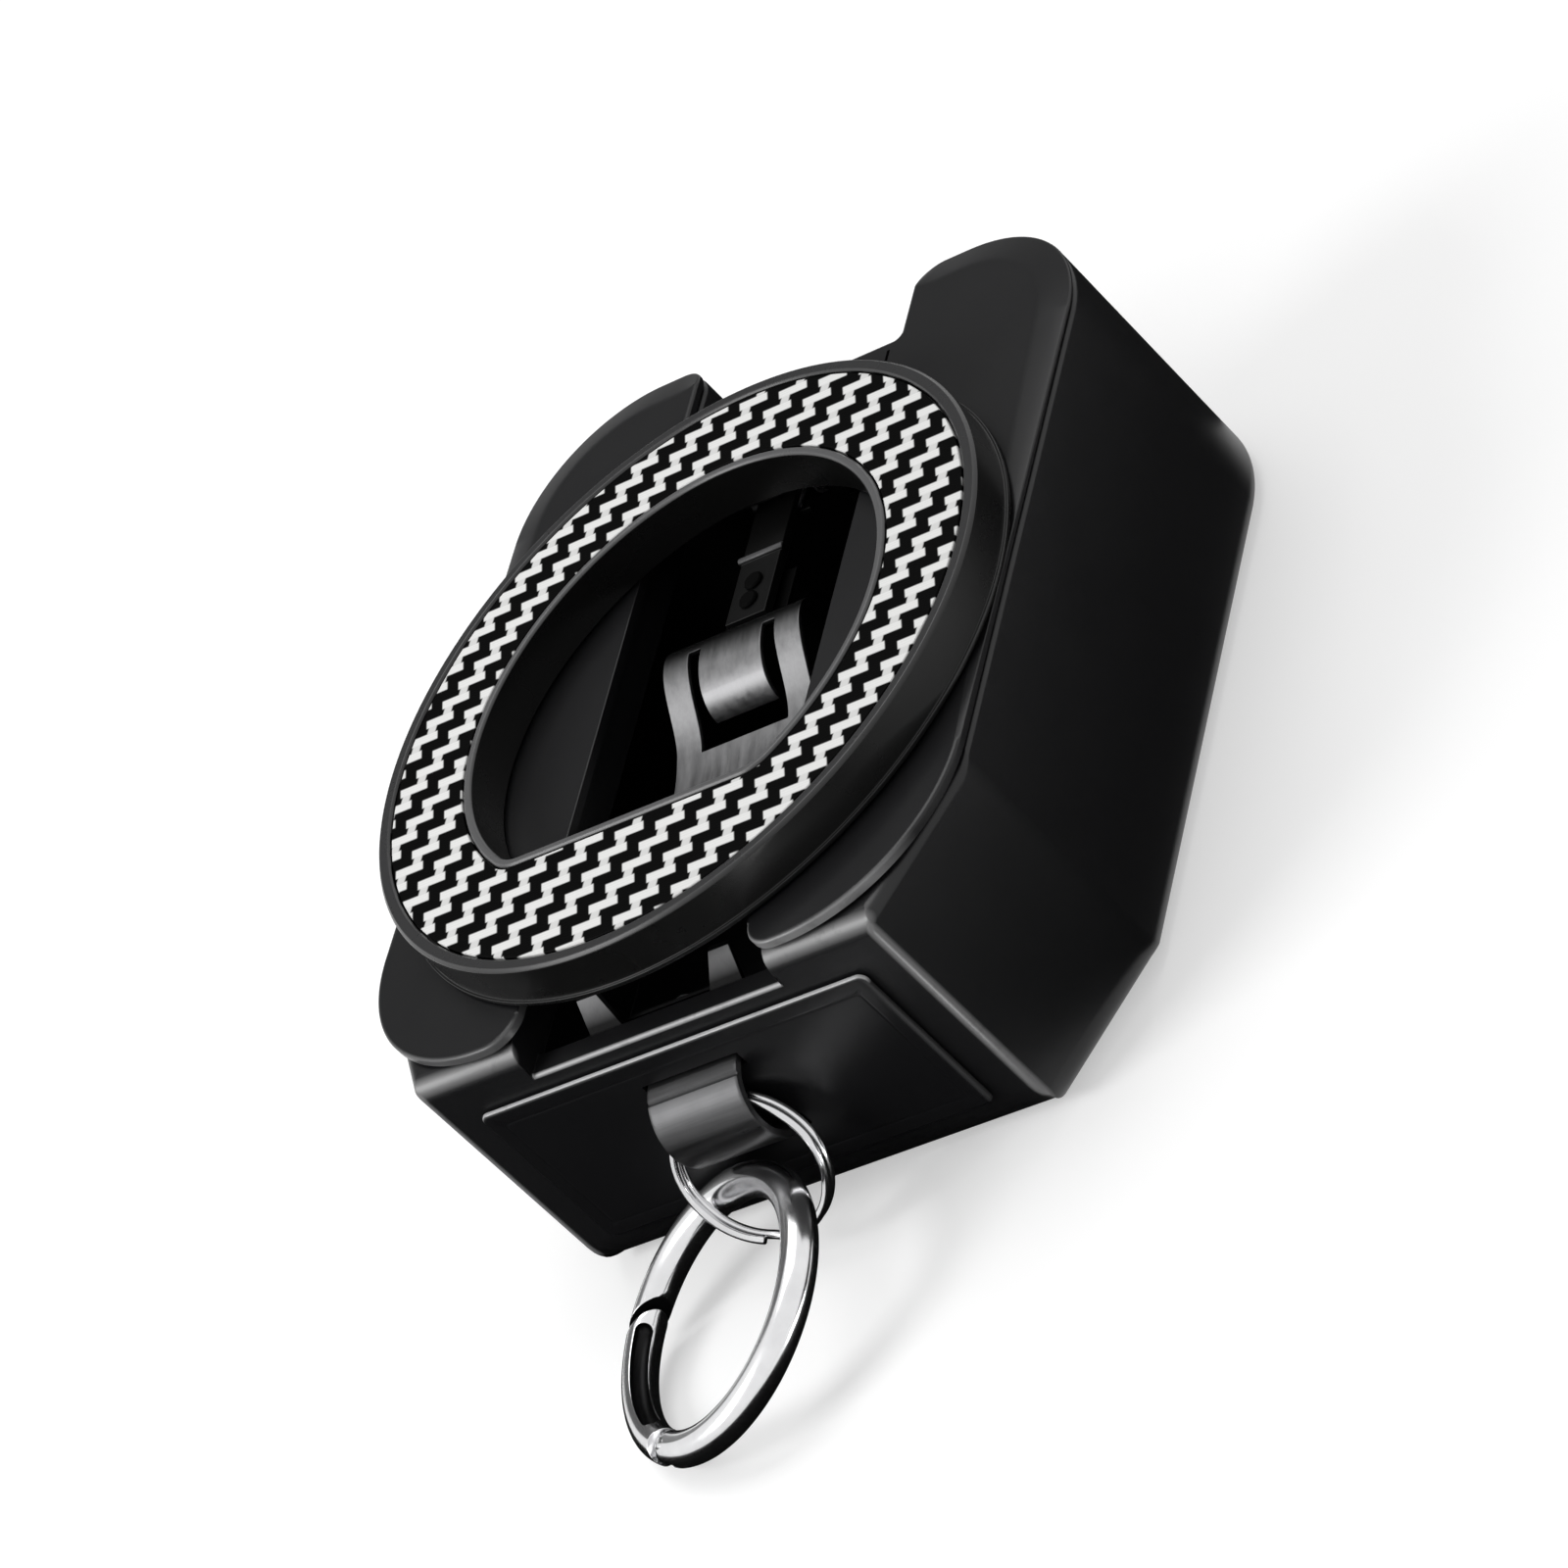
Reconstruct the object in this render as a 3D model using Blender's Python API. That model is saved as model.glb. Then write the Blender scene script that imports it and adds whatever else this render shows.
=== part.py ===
"""Hard key case with a ring-shaped bezel, a sprung steel latch in its slot and a spring-gate key ring.

The case lies on its back: X runs across it, Y along it towards its two-lobed head, Z out of its front.
The origin is the centre of the flat back. Sizes below are in millimetres.
"""

from math import atan2, ceil, cos, pi, radians, sin, sqrt, tan

import bmesh
import bpy
from mathutils import Matrix, Vector

for old in list(bpy.data.objects):
    bpy.data.objects.remove(old, do_unlink=True)

MM = 0.001

# Fits
SEAT_GAP = 0.3
PIN_CLEARANCE = 0.15

# Moulded shell
CASE_WIDTH = 66.5
CASE_LENGTH = 83.0
CASE_DEPTH = 28.6
LOBE_FLAT = 2.65
CHAMFER_ACROSS = 7.45
CHAMFER_ALONG = 14.6
CHAMFER_BEND_RADIUS = 5.0
FOOT_CORNER_RADIUS = 0.9
SIDE_WALL = 1.95
BACK_WALL = 2.0
FRONT_WALL = 3.9
FOOT_WALL = 2.5
BACK_EDGE_RADIUS = 2.3
BACK_FOOT_RADIUS = 5.0
FRONT_EDGE_RADIUS = 0.5
FRONT_FOOT_RADIUS = 2.0
SLOT_WIDTH = 28.4
SILL_RISE = 0.6
BRIDGE_SETBACK = 9.3
BRIDGE_LENGTH = 8.2
NOTCH_WIDTH = 26.2
NOTCH_CORNER_RADIUS = 2.8
NOTCH_FILLET = 0.9

# Lobed front plate
PLATE_THICKNESS = 0.9
PLATE_SLOT_WIDTH = 26.2
PLATE_FOOT_SETBACK = 0.5
PLATE_FOOT_FLAT = 0.45
PLATE_INNER_RADIUS = 3.3
PLATE_EDGE_WIDTH = 0.5
PLATE_EDGE_DROP = 0.3
LOBE_BEVEL_WIDTH = 3.6
LOBE_BEVEL_DROP = 0.65
LOBE_BEVEL_FADE = 12.0

# Bezel ring and its inlay
RING_FOOT_SETBACK = 1.66
RING_RADIUS = 33.8
RING_HEIGHT = 4.7
RING_FLANGE = 0.27
RING_FLANGE_HEIGHT = 0.45
OUTER_LIP = 1.4
INNER_LIP = 0.9
LIP_ROUND = 0.22
WINDOW_RADIUS = 22.9
WINDOW_CHORD = 17.96
WINDOW_CORNER_RADIUS = 3.6
CHANNEL_DEPTH = 1.0
INLAY_THICKNESS = 0.55
INLAY_SIDE_GAP = 0.2
RING_SCREW_INSET = 5.4
RING_SCREW_ANGLE = 30.0

# Screws: head radius, head height, shank radius
RING_SCREW = (2.0, 1.0, 0.9)
LUG_SCREW = (1.5, 0.7, 0.8)
BASE_SCREW = (1.4, 0.45, 0.7)
RING_SCREW_BITE = 2.6
LUG_SCREW_BITE = 1.6
BASE_SCREW_BITE = 2.2
SOCKET_SHARE = 0.5

# Foot panel, lug strap and backing plate
PANEL_WIDTH = 43.8
PANEL_LOW = 5.2
PANEL_HIGH = 23.6
PANEL_THICKNESS = 0.55
PANEL_CORNER_RADIUS = 0.9
PANEL_EDGE = 0.15
PEG_RADIUS = 1.0
PEG_LENGTH = 1.6
PEG_SPACING = 32.0
LUG_HEIGHT = 15.3
LUG_WIDTH = 10.2
LUG_TUNNEL_RADIUS = 4.0
STRAP_THICKNESS = 0.9
STRAP_FOOT = 3.8
BACKING_THICKNESS = 0.6
BACKING_WIDTH = 19.0
BACKING_MARGIN = 0.6
EAR_INNER = 4.9
EAR_OUTER = 8.7
EAR_TOP_INNER = 6.4
EAR_RISE = 2.8
EAR_LEAN = 2.1

# Latch: base, pin, spring, arm and formed clip
PIVOT_SETBACK = 2.0
PIVOT_DEPTH = 2.4
PIN_RADIUS = 0.6
BARREL_RADIUS = 1.6
ARM_WIDTH = 4.7
ARM_THICKNESS = 1.0
ARM_DEPTH = 0.85
ARM_LENGTH = 17.25
RIB_RADIUS = 0.38
RIB_SPANS = (9.4, 1.7)
BASE_WIDTH = 13.2
BASE_PAD = 1.2
CHEEK_THICKNESS = 1.3
SPRING_WIRE = 0.17
SPRING_COIL_RADIUS = 1.15
SPRING_TURNS = 3
SPRING_LEG = 4.4
RIVET_RADIUS = 0.6
RIVET_HEAD = 1.05
RIVET_HEAD_HEIGHT = 0.25
RIVET_SPANS = (15.1, 12.8)
CLIP_WIDTH = 16.0
CLIP_THICKNESS = 0.5
TONGUE_WIDTH = 7.3
TONGUE_SLOT = 1.42
CREST_SPAN = 20.2
CREST_RISE = 0.1
CLIP_DROP = 5.0
CLIP_RUN = 11.8
CLIP_BAR = 3.6
ROLL_REACH = 2.3

# Split ring and spring-gate ring
SPLIT_RADIUS = 7.05
SPLIT_WIRE = 0.425
SPLIT_PITCH = 0.9
SPLIT_ACROSS = 0.44
SPLIT_DROP_ANGLE = 69.9
SPLIT_YAW = -3.2
SPLIT_ROLL = -2.1
LINK_ANGLE = 65.3
LINK_TILT = -86.0
LINK_GAP = 0.22
O_RADIUS = 12.27
O_WIRE = 1.65
O_HEADING = 32.5
O_TIP = -71.5
HINGE_ANGLE = 212.0
NOSE_ANGLE = 294.0
NOSE_SLANT = -1.05
FORK_GAP = 1.5
KNUCKLE_THICKNESS = 0.9
KNUCKLE_RADIUS = 1.35
GATE_PIN_RADIUS = 0.45
GATE_BORE_RADIUS = 0.75
GATE_BORE_LENGTH = 3.6

HALF_WIDTH = CASE_WIDTH / 2
HEAD_Y = CASE_LENGTH / 2
FOOT_Y = -CASE_LENGTH / 2
ROOF_Z = CASE_DEPTH - FRONT_WALL
FLOOR_Y = FOOT_Y + FOOT_WALL
BRIDGE_TOP_Y = HEAD_Y - BRIDGE_SETBACK
BRIDGE_LOW_Y = BRIDGE_TOP_Y - BRIDGE_LENGTH
PLATE_Z = CASE_DEPTH + SEAT_GAP
FRONT_Z = PLATE_Z + PLATE_THICKNESS
RING_Z = FRONT_Z + SEAT_GAP
RING_TOP_Z = RING_Z + RING_HEIGHT
CHANNEL_Z = RING_TOP_Z - CHANNEL_DEPTH
HEAD_CORNER_RADIUS = HALF_WIDTH - NOTCH_WIDTH / 2 - NOTCH_CORNER_RADIUS - LOBE_FLAT
PLATE_FOOT_RADIUS = HALF_WIDTH - PLATE_SLOT_WIDTH / 2 - PLATE_INNER_RADIUS - PLATE_FOOT_FLAT
RING_CENTRE_Y = FOOT_Y + RING_FOOT_SETBACK + RING_RADIUS
RING_SCREW_CIRCLE = RING_RADIUS - RING_SCREW_INSET
PIVOT_Y = BRIDGE_LOW_Y - PIVOT_SETBACK
PIVOT_HEIGHT = CASE_DEPTH - PIVOT_DEPTH
ARM_TOP = CASE_DEPTH - ARM_DEPTH
ARM_END_Y = PIVOT_Y - ARM_LENGTH
RIB_POSITIONS = [PIVOT_Y - span for span in RIB_SPANS]
RIVET_POSITIONS = [PIVOT_Y - span for span in RIVET_SPANS]
CREST_Y = PIVOT_Y - CREST_SPAN
CREST_HEIGHT = CASE_DEPTH + CREST_RISE
SLEEVE = PIN_CLEARANCE

BLACK_SHELL = ((0.010, 0.010, 0.011), 0.42, 0.0)
BLACK_PLATE = ((0.022, 0.023, 0.024), 0.38, 0.2)
BLACK_RING = ((0.020, 0.020, 0.022), 0.30, 0.4)
WEAVE = ((0.42, 0.42, 0.42), 0.45, 0.0)
DARK_STEEL = ((0.09, 0.09, 0.09), 0.35, 0.9)
BRUSHED_STEEL = ((0.45, 0.45, 0.46), 0.38, 1.0)
CHROME = ((0.80, 0.80, 0.82), 0.10, 1.0)
SCREW_STEEL = ((0.30, 0.30, 0.31), 0.35, 1.0)


def coloured(obj, look):
    """Gives the object a material of its own, and smooth shading with sharp edges kept."""
    colour, roughness, metallic = look
    material = bpy.data.materials.new(obj.name + "_finish")
    material.use_nodes = True
    shader = material.node_tree.nodes["Principled BSDF"]
    shader.inputs["Base Color"].default_value = (*colour, 1.0)
    shader.inputs["Roughness"].default_value = roughness
    shader.inputs["Metallic"].default_value = metallic
    material.diffuse_color = (*colour, 1.0)
    obj.data.materials.clear()
    obj.data.materials.append(material)
    obj.data.shade_smooth()
    obj.data.set_sharp_from_angle(angle=radians(32))
    return obj


def shape_from(name, bm):
    """Turns a bmesh in millimetres into an object, its faces pointing out."""
    bmesh.ops.recalc_face_normals(bm, faces=bm.faces)
    bmesh.ops.scale(bm, vec=(MM, MM, MM), verts=bm.verts)
    mesh = bpy.data.meshes.new(name)
    bm.to_mesh(mesh)
    bm.free()
    obj = bpy.data.objects.new(name, mesh)
    bpy.context.scene.collection.objects.link(obj)
    return obj


def lofted(name, loops, ring=False):
    """Skins loops of equal length. The ends are capped, or the last loop meets the first in a ring."""
    bm = bmesh.new()
    rows = [[bm.verts.new(point) for point in loop] for loop in loops]
    pairs = list(zip(rows, rows[1:]))
    if ring:
        pairs.append((rows[-1], rows[0]))
    else:
        bm.faces.new(list(reversed(rows[0])))
        bm.faces.new(rows[-1])
    for low, high in pairs:
        for i in range(len(low)):
            j = (i + 1) % len(low)
            bm.faces.new((low[i], low[j], high[j], high[i]))
    return shape_from(name, bm)


def turned(name, profile, matrix, sides):
    """Turns (radius, height) steps about local Z. The first and last steps lie on the axis."""
    bm = bmesh.new()
    tips = [bm.verts.new(matrix @ Vector((0, 0, height))) for _, height in (profile[0], profile[-1])]
    rows = []
    for radius, height in profile[1:-1]:
        angles = [2 * pi * k / sides for k in range(sides)]
        points = [Vector((radius * cos(a), radius * sin(a), height)) for a in angles]
        rows.append([bm.verts.new(matrix @ point) for point in points])
    for low, high in zip(rows, rows[1:]):
        for i in range(sides):
            j = (i + 1) % sides
            bm.faces.new((low[i], low[j], high[j], high[i]))
    for tip, row in zip(tips, (rows[0], rows[-1])):
        for i in range(sides):
            bm.faces.new((tip, row[i], row[(i + 1) % sides]))
    return shape_from(name, bm)


def along(position, direction):
    """Matrix that puts local Z along a direction, at a position."""
    turn = Vector(direction).to_track_quat("Z", "Y").to_matrix().to_4x4()
    return Matrix.Translation(position) @ turn


def rod(name, start, end, radius, sides=16):
    """Plain round bar between two points."""
    start, end = Vector(start), Vector(end)
    length = (end - start).length
    profile = [(0, 0), (radius, 0), (radius, length), (0, length)]
    return turned(name, profile, along(start, end - start), sides)


def block(name, low, high):
    """Box between two corners."""
    loops = []
    for z in (low[2], high[2]):
        corners = ((low[0], low[1]), (high[0], low[1]), (high[0], high[1]), (low[0], high[1]))
        loops.append([Vector((x, y, z)) for x, y in corners])
    return lofted(name, loops)


def baked(obj):
    """Makes the object's modifiers part of its mesh."""
    graph = bpy.context.evaluated_depsgraph_get()
    mesh = bpy.data.meshes.new_from_object(obj.evaluated_get(graph))
    obj.modifiers.clear()
    worn = obj.data
    obj.data = mesh
    bpy.data.meshes.remove(worn)
    mesh.name = obj.name
    return obj


def joined(obj, tools, operation):
    """Cuts tools from the object, or adds them to it, and removes them."""
    for tool in tools:
        boolean = obj.modifiers.new("boolean", "BOOLEAN")
        boolean.operation = operation
        boolean.solver = "EXACT"
        boolean.object = tool
        baked(obj)
        bpy.data.objects.remove(tool, do_unlink=True)
    return obj


def cut(obj, *tools):
    return joined(obj, tools, "DIFFERENCE")


def add(obj, *tools):
    return joined(obj, tools, "UNION")


def rounded(corners, step=14.0, parts=None):
    """Closed outline through (x, y, radius) corners, each turned on its own radius."""
    points = []
    count = len(corners)
    for i, (x, y, radius) in enumerate(corners):
        corner = Vector((x, y))
        if radius <= 0:
            points.append(corner)
            continue
        back = (Vector(corners[i - 1][:2]) - corner).normalized()
        ahead = (Vector(corners[(i + 1) % count][:2]) - corner).normalized()
        half = back.angle(ahead) / 2
        centre = corner + (back + ahead).normalized() * radius / sin(half)
        start = corner + back * radius / tan(half) - centre
        end = corner + ahead * radius / tan(half) - centre
        first = atan2(start.y, start.x)
        sweep = (atan2(end.y, end.x) - first + pi) % (2 * pi) - pi
        pieces = parts[i] if parts else max(2, ceil(abs(sweep) / radians(step)))
        for k in range(pieces + 1):
            angle = first + sweep * k / pieces
            points.append(centre + radius * Vector((cos(angle), sin(angle))))
    return points


def mitres(points):
    """Outward offset direction of each point, long enough to move both its edges by one."""
    found = []
    for i, point in enumerate(points):
        back = (point - points[i - 1]).normalized()
        ahead = (points[(i + 1) % len(points)] - point).normalized()
        first = Vector((back.y, -back.x))
        second = Vector((ahead.y, -ahead.x))
        found.append((first + second) / (1 + first.dot(second)))
    return found


def mirrored(right):
    """Closes a right-hand half outline, listed from its foot to its top, with its mirror image."""
    return right + [(-x, y, radius) for x, y, radius in reversed(right)]


def bored(centre_x, centre_y, low, high, radius, sides=16):
    """Round cutter along Z."""
    return rod("bore", (centre_x, centre_y, low), (centre_x, centre_y, high), radius, sides)


def screw(name, place, direction, size, length, look=SCREW_STEEL):
    """Button-head screw: its shank runs from the head's seat along the direction."""
    head, height, shank = size
    socket = head * SOCKET_SHARE
    profile = [
        (0, -height * 0.45),
        (socket, -height * 0.45),
        (socket, -height),
        (head * 0.8, -height),
        (head, -height * 0.6),
        (head, 0),
        (shank, 0),
        (shank, length - shank * 0.4),
        (shank * 0.6, length),
        (0, length),
    ]
    return coloured(turned(name, profile, along(place, direction), 12), look)


# The shell: a two-lobed outline with chamfered foot corners, hollow, with a slotted front wall.
chamfer_way = Vector((CHAMFER_ACROSS, CHAMFER_ALONG)).normalized()
notch_half = NOTCH_WIDTH / 2


def case_outline(side_in, foot_in):
    """The case's outline drawn in from its sides and its foot. Corner radii follow the offset."""
    chamfer_in = (side_in + foot_in) / 2
    start = Vector((HALF_WIDTH - CHAMFER_ACROSS, FOOT_Y))
    start += Vector((-chamfer_way.y, chamfer_way.x)) * chamfer_in
    side_x, foot_line = HALF_WIDTH - side_in, FOOT_Y + foot_in
    right = [
        (start.x + chamfer_way.x / chamfer_way.y * (foot_line - start.y), foot_line, FOOT_CORNER_RADIUS),
        (side_x, start.y + chamfer_way.y / chamfer_way.x * (side_x - start.x), CHAMFER_BEND_RADIUS),
        (side_x, HEAD_Y - side_in, HEAD_CORNER_RADIUS),
        (notch_half + side_in, HEAD_Y - side_in, NOTCH_CORNER_RADIUS),
    ]
    insets = (foot_in, chamfer_in, side_in, side_in)
    right = [(x, y, max(0.3, radius - inset)) for (x, y, radius), inset in zip(right, insets)]
    right.append((notch_half + side_in, BRIDGE_TOP_Y - side_in, NOTCH_FILLET + side_in))
    parts = [3, 3, 9, 4, 3]
    return rounded(mirrored(right), parts=parts + parts[::-1])


def shell_loop(height, side_radius, foot_radius, turn, way):
    """One loop of a rounded edge: the outline drawn in and set back after a turn in radians."""
    drawn = 1 - sin(turn)
    outline = case_outline(side_radius * drawn, foot_radius * drawn)
    loop = []
    for point, mitre in zip(outline, mitres(outline)):
        radius = side_radius + (foot_radius - side_radius) * max(0.0, -mitre.normalized().y)
        loop.append(Vector((point.x, point.y, height + way * radius * (1 - cos(turn)))))
    return loop


loops = [shell_loop(0.0, BACK_EDGE_RADIUS, BACK_FOOT_RADIUS, pi / 2 * k / 4, 1) for k in range(5)]
for k in reversed(range(4)):
    loops.append(shell_loop(CASE_DEPTH, FRONT_EDGE_RADIUS, FRONT_FOOT_RADIUS, pi / 2 * k / 3, -1))
rear_shell = lofted("rear_shell", loops)

beyond = HALF_WIDTH + SIDE_WALL
pocket_outline = case_outline(SIDE_WALL, FOOT_WALL)
pocket = lofted("pocket", [[Vector((p.x, p.y, z)) for p in pocket_outline] for z in (BACK_WALL, ROOF_Z)])
slot_half = SLOT_WIDTH / 2
plate_slot_half = PLATE_SLOT_WIDTH / 2
slot = block("slot", (-slot_half, FLOOR_Y, ROOF_Z - 3), (slot_half, BRIDGE_LOW_Y, CASE_DEPTH + 3))
sill = block(
    "sill", (-slot_half, FOOT_Y - 3, ROOF_Z + SILL_RISE), (slot_half, FLOOR_Y + 1, CASE_DEPTH + 3)
)
cut(rear_shell, pocket, slot, sill)

ring_screws = []
for turn in (RING_SCREW_ANGLE, 180 - RING_SCREW_ANGLE, 180 + RING_SCREW_ANGLE, -RING_SCREW_ANGLE):
    x = RING_SCREW_CIRCLE * cos(radians(turn))
    y = RING_CENTRE_Y + RING_SCREW_CIRCLE * sin(radians(turn))
    ring_screws.append((x, y))
head, head_height, shank = RING_SCREW
ring_seat_z = ROOF_Z + SEAT_GAP + head_height
for x, y in ring_screws:
    cut(
        rear_shell,
        bored(x, y, ROOF_Z - 1, ring_seat_z + SEAT_GAP, head + SEAT_GAP),
        bored(x, y, ROOF_Z, CASE_DEPTH + 1, shank + SLEEVE, 12),
    )

# The latch base is screwed up into the bridge, and the lug screws bite into the foot.
base_screw_x = BASE_WIDTH / 2 - BASE_SCREW[0] - 0.3
base_screw_y = BRIDGE_TOP_Y - SIDE_WALL - SEAT_GAP - BASE_SCREW[0] - 0.4
for side in (-1, 1):
    top = ROOF_Z + BASE_SCREW_BITE + SEAT_GAP
    cut(
        rear_shell,
        bored(side * base_screw_x, base_screw_y, ROOF_Z - 1, top, BASE_SCREW[2] + SLEEVE, 12),
    )

strap_outer = LUG_TUNNEL_RADIUS + STRAP_THICKNESS
lug_half = LUG_WIDTH / 2
backing_y = FLOOR_Y + SEAT_GAP
foot_y = backing_y + BACKING_THICKNESS + SEAT_GAP
foot_top_y = foot_y + STRAP_THICKNESS
lug_screw_reach = strap_outer + STRAP_FOOT / 2
leg_low = LUG_TUNNEL_RADIUS - SEAT_GAP
leg_high = strap_outer + SEAT_GAP


def leg_slots(near, far):
    """Cutters for the strap's two legs, between two depths."""
    slots = []
    for side in (-1, 1):
        edges = sorted((LUG_HEIGHT + side * leg_low, LUG_HEIGHT + side * leg_high))
        width = lug_half + SEAT_GAP
        slots.append(block("leg_slot", (-width, near, edges[0]), (width, far, edges[1])))
    return slots


def lug_bores(near, far, radius):
    """Cutters for the two lug screws, along Y."""
    heights = (LUG_HEIGHT - lug_screw_reach, LUG_HEIGHT + lug_screw_reach)
    return [rod("lug_bore", (0, near, z), (0, far, z), radius, 12) for z in heights]


panel_back_y = FOOT_Y - SEAT_GAP
panel_mid = (PANEL_LOW + PANEL_HIGH) / 2
peg_reach = FOOT_Y + PEG_LENGTH
cut(rear_shell, *leg_slots(FOOT_Y - 2, FLOOR_Y + 2))
cut(rear_shell, *lug_bores(FLOOR_Y - LUG_SCREW_BITE - SEAT_GAP, FLOOR_Y + 1, LUG_SCREW[2] + SLEEVE))
for side in (-1, 1):
    x = side * PEG_SPACING / 2
    start, end = (x, FOOT_Y - 1, panel_mid), (x, peg_reach + SEAT_GAP, panel_mid)
    cut(rear_shell, rod("peg_bore", start, end, PEG_RADIUS + SLEEVE, 12))
coloured(rear_shell, BLACK_SHELL)

# The front plate: two lobes beside the slot, joined by the bridge, with a wide soft bevel at the top.
plate_foot_y = FOOT_Y + PLATE_FOOT_SETBACK
plate_outline = rounded(
    [
        (plate_slot_half, plate_foot_y, PLATE_INNER_RADIUS),
        (HALF_WIDTH, plate_foot_y, PLATE_FOOT_RADIUS),
        (HALF_WIDTH, HEAD_Y, HEAD_CORNER_RADIUS),
        (notch_half, HEAD_Y, NOTCH_CORNER_RADIUS),
        (notch_half, BRIDGE_TOP_Y, NOTCH_FILLET),
        (-notch_half, BRIDGE_TOP_Y, NOTCH_FILLET),
        (-notch_half, HEAD_Y, NOTCH_CORNER_RADIUS),
        (-HALF_WIDTH, HEAD_Y, HEAD_CORNER_RADIUS),
        (-HALF_WIDTH, plate_foot_y, PLATE_FOOT_RADIUS),
        (-plate_slot_half, plate_foot_y, PLATE_INNER_RADIUS),
        (-plate_slot_half, BRIDGE_LOW_Y, 1.5),
        (plate_slot_half, BRIDGE_LOW_Y, 1.5),
    ],
    9.0,
)
plate_mitres = mitres(plate_outline)
corner_y = HEAD_Y - HEAD_CORNER_RADIUS


def plate_edge(share_in, share_down):
    """The plate's upper rim, wider and deeper round the lobes' tops and fading down their sides."""
    loop = []
    for point, mitre in zip(plate_outline, plate_mitres):
        lobe = min(1.0, max(0.0, (point.y - corner_y + LOBE_BEVEL_FADE) / LOBE_BEVEL_FADE))
        outer = abs(point.x) > notch_half + NOTCH_CORNER_RADIUS + 0.01
        across = LOBE_BEVEL_WIDTH * lobe if outer else 0.0
        upward = LOBE_BEVEL_WIDTH if point.y > HEAD_Y - NOTCH_CORNER_RADIUS - 0.01 else 0.0
        in_x = -mitre.x * max(PLATE_EDGE_WIDTH, across)
        in_y = -mitre.y * max(PLATE_EDGE_WIDTH, across, upward * (mitre.y > 0))
        wide = max(across, upward * max(0.0, mitre.y)) / LOBE_BEVEL_WIDTH
        drop = PLATE_EDGE_DROP + (LOBE_BEVEL_DROP - PLATE_EDGE_DROP) * wide
        x, y = point.x + in_x * share_in, point.y + in_y * share_in
        loop.append(Vector((x, y, FRONT_Z - drop * share_down)))
    return loop


front_plate = lofted(
    "front_plate",
    [
        [Vector((p.x, p.y, PLATE_Z)) for p in plate_outline],
        plate_edge(0.0, 1.0),
        plate_edge(0.55, 0.3),
        plate_edge(1.0, 0.0),
    ],
)
for x, y in ring_screws:
    cut(front_plate, bored(x, y, PLATE_Z - 1, FRONT_Z + 1, shank + SLEEVE, 12))
coloured(front_plate, BLACK_PLATE)

# The bezel ring: a round wall with a flange, two lips, a channel between them and a D-shaped window.


def window_reach(angle, out):
    """Distance from the ring's centre to the D-shaped window's edge, moved outward by out."""
    radius = WINDOW_RADIUS + out
    chord = WINDOW_CHORD + out
    corner = WINDOW_CORNER_RADIUS + out
    rise = corner - chord
    reach = sqrt((radius - corner) ** 2 - rise**2)
    direction = Vector((cos(angle), sin(angle)))
    from_foot = abs((angle + pi / 2 + pi) % (2 * pi) - pi)
    if from_foot <= atan2(reach, chord):
        return chord / cos(from_foot)
    if from_foot >= atan2(reach, -rise):
        return radius
    centre = Vector((reach if direction.x > 0 else -reach, rise))
    ahead = centre.dot(direction)
    return ahead + sqrt(max(0.0, ahead**2 - centre.length_squared + corner**2))


corner_turn = atan2(WINDOW_CORNER_RADIUS - WINDOW_CHORD, sqrt(WINDOW_RADIUS**2 - WINDOW_CHORD**2))
ring_angles = [radians(5 * k) for k in range(72)]
for side in (1, -1):
    middle = -pi / 2 + side * (corner_turn + pi / 2)
    ring_angles += [middle + radians(2.5 * k) for k in range(-3, 4)]
ring_angles = sorted({round(angle % (2 * pi), 4) for angle in ring_angles})
thinned = [ring_angles[0]]
for angle in ring_angles[1:]:
    if angle - thinned[-1] > radians(1.2):
        thinned.append(angle)
ring_angles = thinned


def ring_loop(reach, z):
    """A loop round the ring's centre, at a height: reach is a radius, or a step out from the window."""
    kind, value = reach
    loop = []
    for angle in ring_angles:
        distance = value if kind == "round" else window_reach(angle, value)
        loop.append(Vector((distance * cos(angle), RING_CENTRE_Y + distance * sin(angle), z)))
    return loop


channel_out = RING_RADIUS - OUTER_LIP
bezel_steps = [
    (("round", RING_RADIUS + RING_FLANGE), RING_Z),
    (("round", RING_RADIUS + RING_FLANGE), RING_Z + RING_FLANGE_HEIGHT),
    (("round", RING_RADIUS), RING_Z + RING_FLANGE_HEIGHT),
    (("round", RING_RADIUS), RING_TOP_Z - LIP_ROUND * 1.4),
    (("round", RING_RADIUS - LIP_ROUND * 1.4), RING_TOP_Z),
    (("round", channel_out + LIP_ROUND), RING_TOP_Z),
    (("round", channel_out), RING_TOP_Z - LIP_ROUND),
    (("round", channel_out), CHANNEL_Z),
    (("window", INNER_LIP), CHANNEL_Z),
    (("window", INNER_LIP), RING_TOP_Z - LIP_ROUND),
    (("window", INNER_LIP - LIP_ROUND), RING_TOP_Z),
    (("window", LIP_ROUND), RING_TOP_Z),
    (("window", 0.0), RING_TOP_Z - LIP_ROUND),
    (("window", 0.0), RING_Z),
]
bezel_ring = lofted("bezel_ring", [ring_loop(reach, z) for reach, z in bezel_steps], ring=True)
screw_top_z = RING_Z + RING_SCREW_BITE
for x, y in ring_screws:
    cut(bezel_ring, bored(x, y, RING_Z - 1, screw_top_z + SEAT_GAP, shank + SLEEVE, 12))
coloured(bezel_ring, BLACK_RING)

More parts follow.
